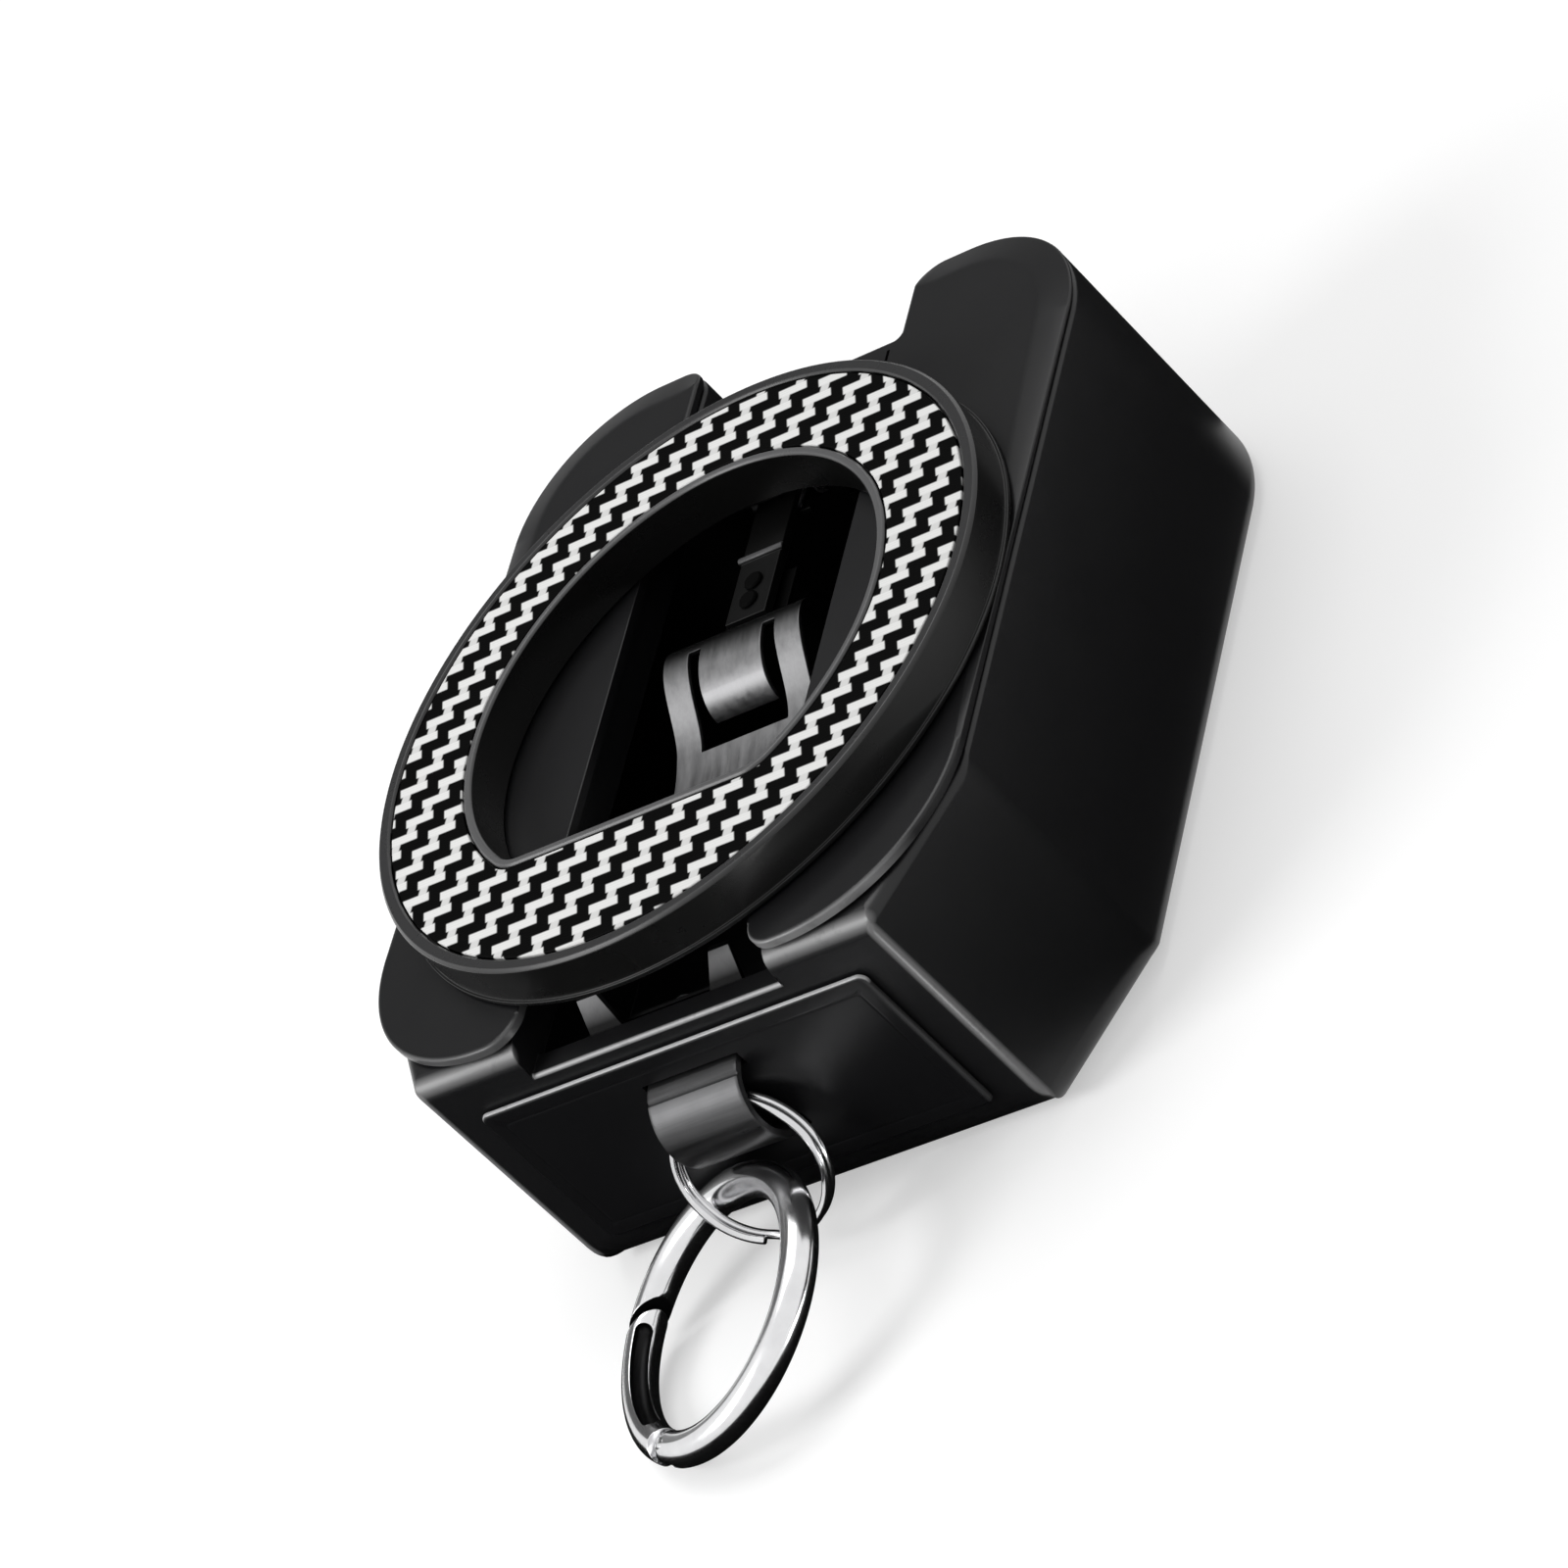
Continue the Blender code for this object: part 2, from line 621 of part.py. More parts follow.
inlay_z = CHANNEL_Z + SEAT_GAP
inlay_steps = [
    (("round", channel_out - INLAY_SIDE_GAP), inlay_z),
    (("round", channel_out - INLAY_SIDE_GAP), inlay_z + INLAY_THICKNESS),
    (("window", INNER_LIP + INLAY_SIDE_GAP), inlay_z + INLAY_THICKNESS),
    (("window", INNER_LIP + INLAY_SIDE_GAP), inlay_z),
]
bezel_inlay = lofted("bezel_inlay", [ring_loop(reach, z) for reach, z in inlay_steps], ring=True)
coloured(bezel_inlay, WEAVE)

for number, (x, y) in enumerate(ring_screws, 1):
    screw(
        f"bezel_screw_{number}", (x, y, ring_seat_z), (0, 0, 1), RING_SCREW, screw_top_z - ring_seat_z
    )

# The foot: a raised panel on two pegs, the strap through it, and the backing plate with its two ears.
panel_face_y = panel_back_y - PANEL_THICKNESS
panel_half = PANEL_WIDTH / 2
panel_outline = rounded(
    [
        (-panel_half, PANEL_LOW, PANEL_CORNER_RADIUS),
        (panel_half, PANEL_LOW, PANEL_CORNER_RADIUS),
        (panel_half, PANEL_HIGH, PANEL_CORNER_RADIUS),
        (-panel_half, PANEL_HIGH, PANEL_CORNER_RADIUS),
    ],
    30.0,
)
panel_mitres = mitres(panel_outline)
panel_loops = []
for inset, y in ((0.0, panel_back_y), (0.0, panel_face_y + PANEL_EDGE), (PANEL_EDGE, panel_face_y)):
    moved = [p - m * inset for p, m in zip(panel_outline, panel_mitres)]
    panel_loops.append([Vector((p.x, y, p.y)) for p in moved])
end_panel = lofted("end_panel", panel_loops)
for side in (-1, 1):
    x = side * PEG_SPACING / 2
    root = panel_back_y - PANEL_THICKNESS / 2
    add(end_panel, rod("peg", (x, root, panel_mid), (x, peg_reach, panel_mid), PEG_RADIUS, 12))
cut(end_panel, *leg_slots(panel_face_y - 2, panel_back_y + 0.5))
coloured(end_panel, BLACK_SHELL)


def strap_profile():
    """Side view of the strap, as (y, z): two feet, two legs and a half-round loop."""
    points = [
        (foot_top_y, -strap_outer - STRAP_FOOT),
        (foot_y, -strap_outer - STRAP_FOOT),
        (foot_y, -strap_outer),
    ]
    for radius, turns in ((strap_outer, range(13)), (LUG_TUNNEL_RADIUS, range(12, -1, -1))):
        if radius == LUG_TUNNEL_RADIUS:
            points += [
                (foot_y, strap_outer),
                (foot_y, strap_outer + STRAP_FOOT),
                (foot_top_y, strap_outer + STRAP_FOOT),
                (foot_top_y, LUG_TUNNEL_RADIUS),
            ]
        for k in turns:
            angle = pi * k / 12
            points.append((FOOT_Y - radius * sin(angle), -radius * cos(angle)))
    points.append((foot_top_y, -LUG_TUNNEL_RADIUS))
    return points


strap_loops = []
for x, shrink in ((-lug_half, 1), (-lug_half + 0.15, 0), (lug_half - 0.15, 0), (lug_half, 1)):
    flat = [Vector(point) for point in strap_profile()]
    drawn = [p + m * 0.1 * shrink for p, m in zip(flat, mitres(flat))]
    strap_loops.append([Vector((x, p.x, LUG_HEIGHT + p.y)) for p in drawn])
lug_strap = lofted("lug_strap", strap_loops)
cut(lug_strap, *lug_bores(foot_y - 0.3, foot_top_y + 1, LUG_SCREW[2] + SLEEVE))
coloured(lug_strap, DARK_STEEL)

backing_half = BACKING_WIDTH / 2
backing_low = LUG_HEIGHT - strap_outer - STRAP_FOOT - BACKING_MARGIN
bend_z = ROOF_Z - 0.1
backing_plate = block(
    "backing_plate",
    (-backing_half, backing_y, backing_low),
    (backing_half, backing_y + BACKING_THICKNESS, bend_z),
)
for side in (-1, 1):
    stations = (
        (bend_z - 1.2, EAR_INNER, backing_y, backing_y + BACKING_THICKNESS * 0.96),
        (bend_z, EAR_INNER, backing_y, backing_y + BACKING_THICKNESS * 0.96),
        (bend_z + EAR_RISE, EAR_TOP_INNER, backing_y + EAR_LEAN, backing_y + EAR_LEAN + 0.5),
    )
    ear = []
    for z, inner, near, far in stations:
        edges = ((inner, near), (EAR_OUTER, near), (EAR_OUTER, far), (inner, far))
        ear.append([Vector((side * x, y, z)) for x, y in edges])
    ear[0] = [p + Vector((0, 0.01 * (1 if p.y < backing_y + 0.1 else -1), 0)) for p in ear[0]]
    add(backing_plate, lofted("ear", ear))
cut(backing_plate, *leg_slots(backing_y - 1, backing_y + BACKING_THICKNESS + 1))
cut(backing_plate, *lug_bores(backing_y - 1, foot_y, LUG_SCREW[2] + SLEEVE))
coloured(backing_plate, BRUSHED_STEEL)

lug_seat_y = foot_top_y + SEAT_GAP
for name, height in (("rear", -lug_screw_reach), ("front", lug_screw_reach)):
    place = (0, lug_seat_y, LUG_HEIGHT + height)
    length = lug_seat_y - (FLOOR_Y - LUG_SCREW_BITE)
    screw("lug_screw_" + name, place, (0, -1, 0), LUG_SCREW, length)

# The latch base hangs under the bridge. Its two cheeks carry the pin, the arm's barrel and the spring.
arm_half = ARM_WIDTH / 2
pad_top_z = ROOF_Z - SEAT_GAP
pad_low_z = pad_top_z - BASE_PAD
base_half = BASE_WIDTH / 2
left_cheek = (-arm_half - SEAT_GAP - CHEEK_THICKNESS, -arm_half - SEAT_GAP)
spring_width = SPRING_WIRE * 2 * (SPRING_TURNS + 1)
right_cheek = (arm_half + SEAT_GAP * 2 + spring_width, arm_half + SEAT_GAP * 2 + spring_width + CHEEK_THICKNESS)
latch_base = block(
    "latch_base",
    (-base_half, BRIDGE_LOW_Y + SEAT_GAP, pad_low_z),
    (base_half, BRIDGE_TOP_Y - SIDE_WALL - SEAT_GAP, pad_top_z),
)
cheek_radius = min(BARREL_RADIUS, PIVOT_SETBACK - SEAT_GAP)
for low, high in (left_cheek, right_cheek):
    profile = [
        (BRIDGE_LOW_Y + 1.8, pad_low_z + 0.05),
        (BRIDGE_LOW_Y + 1.8, pad_top_z - 0.05),
        (PIVOT_Y + cheek_radius, pad_top_z - 0.05),
    ]
    for k in range(9):
        angle = pi * k / 8
        profile.append((PIVOT_Y + cheek_radius * cos(angle), PIVOT_HEIGHT + cheek_radius * sin(angle)))
    profile.append((PIVOT_Y - cheek_radius * 0.6, pad_low_z + 0.8))
    profile.append((PIVOT_Y, pad_low_z + 0.05))
    add(latch_base, lofted("cheek", [[Vector((x, y, z)) for y, z in profile] for x in (low, high)]))
pin_bore = PIN_RADIUS + SLEEVE
cut(
    latch_base,
    rod("pin_bore", (-beyond, PIVOT_Y, PIVOT_HEIGHT), (beyond, PIVOT_Y, PIVOT_HEIGHT), pin_bore, 16),
)
head, head_height, shank = BASE_SCREW
base_seat_z = pad_low_z + head_height
for side in (-1, 1):
    x = side * base_screw_x
    cut(
        latch_base,
        bored(x, base_screw_y, pad_low_z - 1, base_seat_z + SEAT_GAP * 0.5, head + PIN_CLEARANCE),
        bored(x, base_screw_y, pad_low_z, pad_top_z + 1, shank + SLEEVE, 12),
    )
coloured(latch_base, DARK_STEEL)
for name, side in (("left", -1), ("right", 1)):
    place = (side * base_screw_x, base_screw_y, base_seat_z)
    screw("base_screw_" + name, place, (0, 0, 1), BASE_SCREW, ROOF_Z + BASE_SCREW_BITE - base_seat_z)

pin_start = left_cheek[0] - SEAT_GAP
pin_end = right_cheek[1] + SEAT_GAP
latch_pin = turned(
    "latch_pin",
    [
        (0, 0),
        (PIN_RADIUS * 0.7, 0),
        (PIN_RADIUS, PIN_RADIUS * 0.3),
        (PIN_RADIUS, pin_end - pin_start - PIN_RADIUS * 0.3),
        (PIN_RADIUS * 0.7, pin_end - pin_start),
        (0, pin_end - pin_start),
    ],
    along((pin_start, PIVOT_Y, PIVOT_HEIGHT), (1, 0, 0)),
    16,
)
coloured(latch_pin, SCREW_STEEL)


def wire(name, path, radius, sides):
    """Round wire along a path of points."""
    loops = []
    side = None
    for i, point in enumerate(path):
        ahead = (path[min(i + 1, len(path) - 1)] - path[max(i - 1, 0)]).normalized()
        side = ahead.orthogonal() if side is None else side - ahead * side.dot(ahead)
        side.normalize()
        other = ahead.cross(side)
        angles = [2 * pi * k / sides for k in range(sides)]
        loops.append([point + radius * (cos(a) * side + sin(a) * other) for a in angles])
    return lofted(name, loops)


spring_x = arm_half + SEAT_GAP + SPRING_WIRE * 1.5
spring_steps = SPRING_TURNS * 12 + 3
coil = []
for k in range(spring_steps + 1):
    turn = pi / 2 + 2 * pi * k / 12
    x = spring_x + (spring_width - SPRING_WIRE * 2) * k / spring_steps
    coil.append(
        Vector(
            (x, PIVOT_Y + SPRING_COIL_RADIUS * cos(turn), PIVOT_HEIGHT + SPRING_COIL_RADIUS * sin(turn))
        )
    )
arm_leg = coil[0] + Vector((0, -SPRING_LEG, 0))
pad_leg = Vector((coil[-1].x, BRIDGE_LOW_Y - SPRING_WIRE * 1.2, pad_low_z + 0.5))
latch_spring = wire("latch_spring", [arm_leg, *coil, pad_leg], SPRING_WIRE, 6)
coloured(latch_spring, SCREW_STEEL)

# The arm: a narrow beam with a barrel at the pin, two cross ribs and a side tab for the spring.
arm_low = ARM_TOP - ARM_THICKNESS
latch_arm = block("latch_arm", (-arm_half, ARM_END_Y, arm_low), (arm_half, PIVOT_Y, ARM_TOP))
barrel_ends = ((-arm_half, PIVOT_Y, PIVOT_HEIGHT), (arm_half, PIVOT_Y, PIVOT_HEIGHT))
add(latch_arm, rod("barrel", *barrel_ends, BARREL_RADIUS, 20))
for y in RIB_POSITIONS:
    ends = ((-arm_half - 0.25, y, ARM_TOP), (arm_half + 0.25, y, ARM_TOP))
    add(latch_arm, rod("rib", *ends, RIB_RADIUS, 10))
tab_y = PIVOT_Y - SPRING_LEG + 0.2
tab_top = PIVOT_HEIGHT + SPRING_COIL_RADIUS - SPRING_WIRE - SEAT_GAP * 1.6
add(
    latch_arm,
    block("web", (0.2, tab_y + 0.1, tab_top - 0.6), (arm_half - 0.1, tab_y + 1.2, arm_low + 0.4)),
    block("tab", (0.4, tab_y, tab_top - 0.7), (spring_x + 0.6, tab_y + 1.3, tab_top)),
)
cut(latch_arm, rod("pin_bore", (-beyond, PIVOT_Y, PIVOT_HEIGHT), (beyond, PIVOT_Y, PIVOT_HEIGHT), pin_bore, 16))
for y in RIVET_POSITIONS:
    cut(latch_arm, bored(0, y, arm_low - 1, ARM_TOP + 1, RIVET_RADIUS + SLEEVE, 12))
coloured(latch_arm, DARK_STEEL)

# The clip: one steel strip, rolled over the arm's end, with a window that frees a curled tongue.
tab_z = arm_low - SEAT_GAP - CLIP_THICKNESS / 2
crest_z = CREST_HEIGHT - CLIP_THICKNESS / 2
roll = crest_z - tab_z
frame_path = [(RIVET_POSITIONS[-1] + 1.4, tab_z), (CREST_Y + ROLL_REACH + 0.6, tab_z)]
for k in range(1, 8):
    turn = pi / 2 * k / 7
    frame_path.append((CREST_Y + ROLL_REACH * cos(turn) ** 0.8 if k < 7 else CREST_Y, tab_z + roll * sin(turn) ** 1.1))
crest_at = len(frame_path) - 1
bar_top_y = CREST_Y - CLIP_RUN + CLIP_BAR
for k in range(1, 9):
    share = k / 8
    fall = CLIP_DROP * (0.5 - 0.5 * cos(pi * min(1.0, share * 0.88 + 0.02))) / (0.5 - 0.5 * cos(pi * 0.9))
    y = CREST_Y - (CREST_Y - bar_top_y) * share if k < 8 else bar_top_y
    frame_path.append((y, crest_z - fall * (1 - CLIP_BAR / CLIP_RUN * 0.35)))
last_y, last_z = frame_path[-1]
frame_path.append((last_y - CLIP_BAR * 0.5, last_z - CLIP_DROP * 0.09))
frame_path.append((last_y - CLIP_BAR, last_z - CLIP_DROP * 0.14))
bar_at = len(frame_path) - 3
tongue_path = [frame_path[crest_at]]
for k in range(1, 9):
    share = k / 8
    y = CREST_Y - (CREST_Y - bar_top_y) * 0.66 * sin(share * pi * 0.5)
    tongue_path.append((y, crest_z - CLIP_DROP * 0.78 * (1 - cos(share * pi * 0.5)) - 0.12 * k / 8))
tongue_half = TONGUE_WIDTH / 2
columns = [
    -CLIP_WIDTH / 2,
    -tongue_half - TONGUE_SLOT,
    -tongue_half,
    tongue_half,
    tongue_half + TONGUE_SLOT,
    CLIP_WIDTH / 2,
]
bm = bmesh.new()
grid = [[bm.verts.new((x, y, z)) for x in columns] for y, z in frame_path]
for row in range(len(frame_path) - 1):
    for column in range(5):
        under_arm = row < 2
        in_window = crest_at <= row < bar_at
        if under_arm and column != 2:
            continue
        if in_window and column in (1, 2, 3):
            continue
        low, high = grid[row], grid[row + 1]
        bm.faces.new((low[column], low[column + 1], high[column + 1], high[column]))
tongue = [grid[crest_at][2:4]] + [
    [bm.verts.new((side * tongue_half, y, z)) for side in (-1, 1)] for y, z in tongue_path[1:]
]
for low, high in zip(tongue, tongue[1:]):
    bm.faces.new((low[0], low[1], high[1], high[0]))
bmesh.ops.delete(bm, geom=[v for v in bm.verts if not v.link_faces], context="VERTS")
latch_clip = shape_from("latch_clip", bm)
thick = latch_clip.modifiers.new("sheet", "SOLIDIFY")
thick.thickness = CLIP_THICKNESS * MM
thick.offset = 0.0
thick.use_even_offset = True
baked(latch_clip)
for y in RIVET_POSITIONS:
    cut(latch_clip, bored(0, y, tab_z - 2, tab_z + 2, RIVET_RADIUS + SLEEVE, 12))
coloured(latch_clip, BRUSHED_STEEL)

rivet_low = tab_z - CLIP_THICKNESS / 2 - SEAT_GAP
rivet_high = ARM_TOP + SLEEVE
for name, y in zip(("front", "rear"), RIVET_POSITIONS):
    profile = [
        (0, rivet_low - RIVET_HEAD_HEIGHT),
        (RIVET_HEAD * 0.8, rivet_low - RIVET_HEAD_HEIGHT),
        (RIVET_HEAD, rivet_low),
        (RIVET_RADIUS, rivet_low),
        (RIVET_RADIUS, rivet_high),
        (RIVET_HEAD, rivet_high),
        (RIVET_HEAD * 0.8, rivet_high + RIVET_HEAD_HEIGHT),
        (0, rivet_high + RIVET_HEAD_HEIGHT),
    ]
    coloured(turned("latch_rivet_" + name, profile, Matrix.Translation((0, y, 0)), 12), DARK_STEEL)

# The key ring hangs through the strap: a two-turn split ring, and a spring-gate ring linked into it.
drop, yaw, roll_angle = radians(SPLIT_DROP_ANGLE), radians(SPLIT_YAW), radians(SPLIT_ROLL)
hang = Vector((sin(yaw), -cos(drop) * cos(yaw), -sin(drop) * cos(yaw)))
split_normal = Vector((sin(roll_angle), sin(drop), -cos(drop)))
split_normal = (split_normal - hang * split_normal.dot(hang)).normalized()
split_side = split_normal.cross(hang)
half_stack = SPLIT_PITCH / 2
bundle = half_stack + SPLIT_WIRE
held_y = panel_face_y - 0.2 - (abs(split_normal.y) * half_stack + SPLIT_WIRE)
room = LUG_TUNNEL_RADIUS - 0.3 - bundle
held_z = LUG_HEIGHT + sqrt(max(0.0, room**2 - (held_y - FOOT_Y) ** 2))
held = Vector((SPLIT_ACROSS, held_y, held_z))
split_centre = held + hang * SPLIT_RADIUS
link = radians(LINK_ANGLE)
link_way = cos(link) * hang + sin(link) * split_side
tilt = radians(LINK_TILT)
press = cos(tilt) * link_way + sin(tilt) * split_normal
heading, tip_angle = radians(O_HEADING), radians(O_TIP)
o_normal = Vector((cos(heading) * cos(tip_angle), sin(heading) * cos(tip_angle), sin(tip_angle)))
wire_at_link = split_centre + link_way * SPLIT_RADIUS - split_normal * half_stack * (1 if tilt > 0 else -1)
linked = wire_at_link - press * (SPLIT_WIRE + O_WIRE + LINK_GAP)
o_away = (press - o_normal * press.dot(o_normal)).normalized()
o_centre = linked + o_away * O_RADIUS
o_across = o_normal.cross(-o_away)


def frame_of(x_axis, y_axis, z_axis, place):
    """World matrix, in metres, of a frame given by its axes."""
    matrix = Matrix((x_axis, y_axis, z_axis)).transposed().to_4x4()
    matrix.translation = place * MM
    return matrix


def arc_bar(name, radius, thickness, turns, sides, rise=None, domes=(0, 0), slants=(0, 0)):
    """Round bar bent on a circle in local XY, through the turns in radians. A dome rounds an end,
    a slant tilts its face, and rise lifts the bar along Z."""
    stations = [(turn, 0.0, 1.0) for turn in turns]
    for end, dome in enumerate(domes):
        if not dome:
            continue
        extra = [(turns[-end], (2 * end - 1) * sin(a), cos(a)) for a in (pi / 8, pi / 4, pi * 0.42)]
        stations = stations + extra if end else extra[::-1] + stations
    loops = []
    last = len(stations) - 1
    for i, (turn, push, share) in enumerate(stations):
        outward = Vector((cos(turn), sin(turn), 0))
        forward = Vector((-sin(turn), cos(turn), 0))
        centre = outward * radius + forward * push * thickness
        centre.z += rise(turn) if rise else 0.0
        tilt = slants[0] if i == 0 else slants[1] if i == last else 0.0
        loop = []
        for k in range(sides):
            a = 2 * pi * k / sides
            point = centre + thickness * share * (cos(a) * outward + sin(a) * Vector((0, 0, 1)))
            loop.append(point + forward * tilt * thickness * cos(a))
        loops.append(loop)
    return lofted(name, loops)


def hung_on(obj, matrix, parent):
    """Places an object by a world matrix and parents it to its joint's empty."""
    obj.matrix_world = matrix
    if parent:
        obj.parent = parent
        obj.matrix_parent_inverse = parent.matrix_world.inverted()
    return obj


def joint_empty(name, matrix, parent=None):
    empty = bpy.data.objects.new(name, None)
    empty.empty_display_size = 0.004
    bpy.context.scene.collection.objects.link(empty)
    hung_on(empty, matrix, parent)
    bpy.context.view_layer.update()
    return empty


def split_rise(turn):
    """Height of the split ring's wire: one flat turn, a short cross-over, and a second flat turn."""
    share = (turn - radians(345)) / radians(30)
    return half_stack * (2 * min(1.0, max(0.0, share)) - 1)


split_turns = [radians(19 + 9 * k) for k in range(37)]
split_turns = [turn for turn in split_turns if turn < radians(340)]
split_turns += [radians(345 + 5 * k) for k in range(7)]
split_turns += [radians(384 + 9 * k) for k in range(36) if 384 + 9 * k < 701]
split_ring = arc_bar("split_ring", SPLIT_RADIUS, SPLIT_WIRE, split_turns, 8, rise=split_rise)
coloured(split_ring, CHROME)
split_frame = frame_of(hang, split_side, split_normal, split_centre)

hinge, nose = radians(HINGE_ANGLE), radians(NOSE_ANGLE)
hinge_out = Vector((cos(hinge), sin(hinge), 0))
hinge_ahead = Vector((-sin(hinge), cos(hinge), 0))
pin_place = hinge_out * O_RADIUS
nose_gap = SEAT_GAP / O_RADIUS / 2
body_sweep = 2 * pi - (nose - hinge) - nose_gap
body_turns = [nose + nose_gap + body_sweep * k / 42 for k in range(43)]
gate_ring = arc_bar(
    "gate_ring", O_RADIUS, O_WIRE, body_turns, 14, domes=(0, 1), slants=(NOSE_SLANT, 0)
)
fork = frame_of(hinge_ahead, -hinge_out, Vector((0, 0, 1)), Vector((0, 0, 0)))
fork_depth = KNUCKLE_RADIUS + SEAT_GAP


def in_hinge(obj):
    """Turns a shape drawn about the gate's pin, its X ahead along the ring, into the ring's frame."""
    obj.data.transform(Matrix.Translation(pin_place * MM) @ fork)
    return obj


fork_slot = block("fork_slot", (-fork_depth, -4, -FORK_GAP / 2), (4, 4, FORK_GAP / 2))
gate_bore = GATE_PIN_RADIUS + PIN_CLEARANCE * 0.8
cut(gate_ring, in_hinge(fork_slot))
cut(gate_ring, in_hinge(rod("bore", (0, 0, -5), (0, 0, 5), gate_bore, 12)))
bore_turns = (hinge - (fork_depth - 0.4) / O_RADIUS, hinge - (fork_depth + GATE_BORE_LENGTH) / O_RADIUS)
bore_ends = [Vector((cos(t), sin(t), 0)) * O_RADIUS for t in bore_turns]
cut(gate_ring, rod("spring_bore", *bore_ends, GATE_BORE_RADIUS, 12))
coloured(gate_ring, CHROME)

gate_sweep = nose - hinge - nose_gap
gate_turns = [hinge + gate_sweep * k / 14 for k in range(1, 15)]
gate = arc_bar("gate", O_RADIUS, O_WIRE, gate_turns, 14, slants=(0, NOSE_SLANT))
cut(gate, in_hinge(rod("relief", (0, 0, -5), (0, 0, 5), O_WIRE + SEAT_GAP, 24)))
knuckle_half = KNUCKLE_THICKNESS / 2
knuckle = rod("knuckle", (0, 0, -knuckle_half), (0, 0, knuckle_half), KNUCKLE_RADIUS, 20)
neck_length = O_WIRE + SEAT_GAP + 1.1
neck = block(
    "neck",
    (0, -KNUCKLE_RADIUS * 0.86, -knuckle_half * 0.97),
    (neck_length, KNUCKLE_RADIUS * 0.8, knuckle_half * 0.97),
)
add(knuckle, neck)
cut(knuckle, rod("bore", (0, 0, -5), (0, 0, 5), gate_bore, 12))
add(gate, in_hinge(knuckle))
gate.data.transform(Matrix.Translation(-pin_place * MM))
coloured(gate, CHROME)

pin_half = O_WIRE * 0.93
gate_pin = coloured(rod("gate_pin", (0, 0, -pin_half), (0, 0, pin_half), GATE_PIN_RADIUS, 12), CHROME)

bore_way = (bore_ends[1] - bore_ends[0]).normalized()
tip = hinge_out * O_RADIUS - hinge_ahead * (KNUCKLE_RADIUS + PIN_CLEARANCE)
tip = bore_ends[0] + bore_way * max(0.0, (tip - bore_ends[0]).dot(bore_way))
plunger_end = tip + bore_way * GATE_BORE_LENGTH * 0.36
gate_plunger = coloured(rod("gate_plunger", tip, plunger_end, GATE_BORE_RADIUS - 0.25, 10), SCREW_STEEL)
spring_start = plunger_end + bore_way * 0.25
spring_end = bore_ends[1] - bore_way * 0.25
sideways = bore_way.orthogonal().normalized()
upright = bore_way.cross(sideways)
coil = []
for k in range(33):
    a = 2 * pi * k / 8
    centre = spring_start.lerp(spring_end, k / 32)
    coil.append(centre + 0.36 * (cos(a) * sideways + sin(a) * upright))
gate_spring = coloured(wire("gate_spring", coil, 0.11, 6), SCREW_STEEL)

# Every moving piece hangs on an empty, or has its origin, on its joint's axis.
o_frame = frame_of(-o_away, o_across, o_normal, o_centre)
gate_frame = o_frame @ Matrix.Translation(pin_place * MM)
latch_axis = joint_empty("latch_axis", Matrix.Translation(Vector((0, PIVOT_Y, PIVOT_HEIGHT)) * MM))
for obj in (latch_arm, latch_clip, *[o for o in bpy.data.objects if o.name.startswith("latch_rivet")]):
    hung_on(obj, Matrix.Identity(4), latch_axis)
split_axis = joint_empty("split_ring_axis", Matrix.Translation(held * MM))
hung_on(split_ring, split_frame, split_axis)
link_axis = joint_empty("gate_ring_axis", Matrix.Translation(wire_at_link * MM), split_axis)
for obj in (gate_ring, gate_plunger, gate_spring):
    hung_on(obj, o_frame, link_axis)
hung_on(gate_pin, gate_frame, link_axis)
hung_on(gate, gate_frame, link_axis)
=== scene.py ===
"""Hard pocket case with a ring bezel, a sprung steel latch and a spring-gate key ring.

The case lies on its back: X runs across it, Y along it towards its two-lobed head, Z out of its front.
Shapes are drawn in millimetres and set down in metres.
"""

from math import atan2, ceil, cos, pi, radians, sin, sqrt, tan

import bmesh
import bpy
from mathutils import Matrix, Vector


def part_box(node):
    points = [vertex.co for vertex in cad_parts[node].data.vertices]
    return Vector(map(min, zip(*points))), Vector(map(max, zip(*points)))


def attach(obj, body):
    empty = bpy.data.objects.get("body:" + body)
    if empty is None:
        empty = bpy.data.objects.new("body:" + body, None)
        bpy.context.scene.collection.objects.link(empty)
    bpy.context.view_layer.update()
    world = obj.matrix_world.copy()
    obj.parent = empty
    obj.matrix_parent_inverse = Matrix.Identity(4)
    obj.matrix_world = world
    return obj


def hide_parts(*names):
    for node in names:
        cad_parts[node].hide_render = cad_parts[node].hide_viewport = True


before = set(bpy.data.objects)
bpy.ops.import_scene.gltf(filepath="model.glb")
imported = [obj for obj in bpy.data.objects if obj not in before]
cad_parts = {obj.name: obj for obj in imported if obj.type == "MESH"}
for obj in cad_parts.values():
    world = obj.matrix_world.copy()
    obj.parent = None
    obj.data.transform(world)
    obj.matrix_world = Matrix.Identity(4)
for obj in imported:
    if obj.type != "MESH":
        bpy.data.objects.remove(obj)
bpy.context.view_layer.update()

# ---------------------------------------------------------------------------
# Rear shell. The one-piece case, injection moulded in black polymer with a fine spark texture.
# It is a box with chamfered foot corners and a soft back edge, open at the front along a slot,
# and it carries everything else.

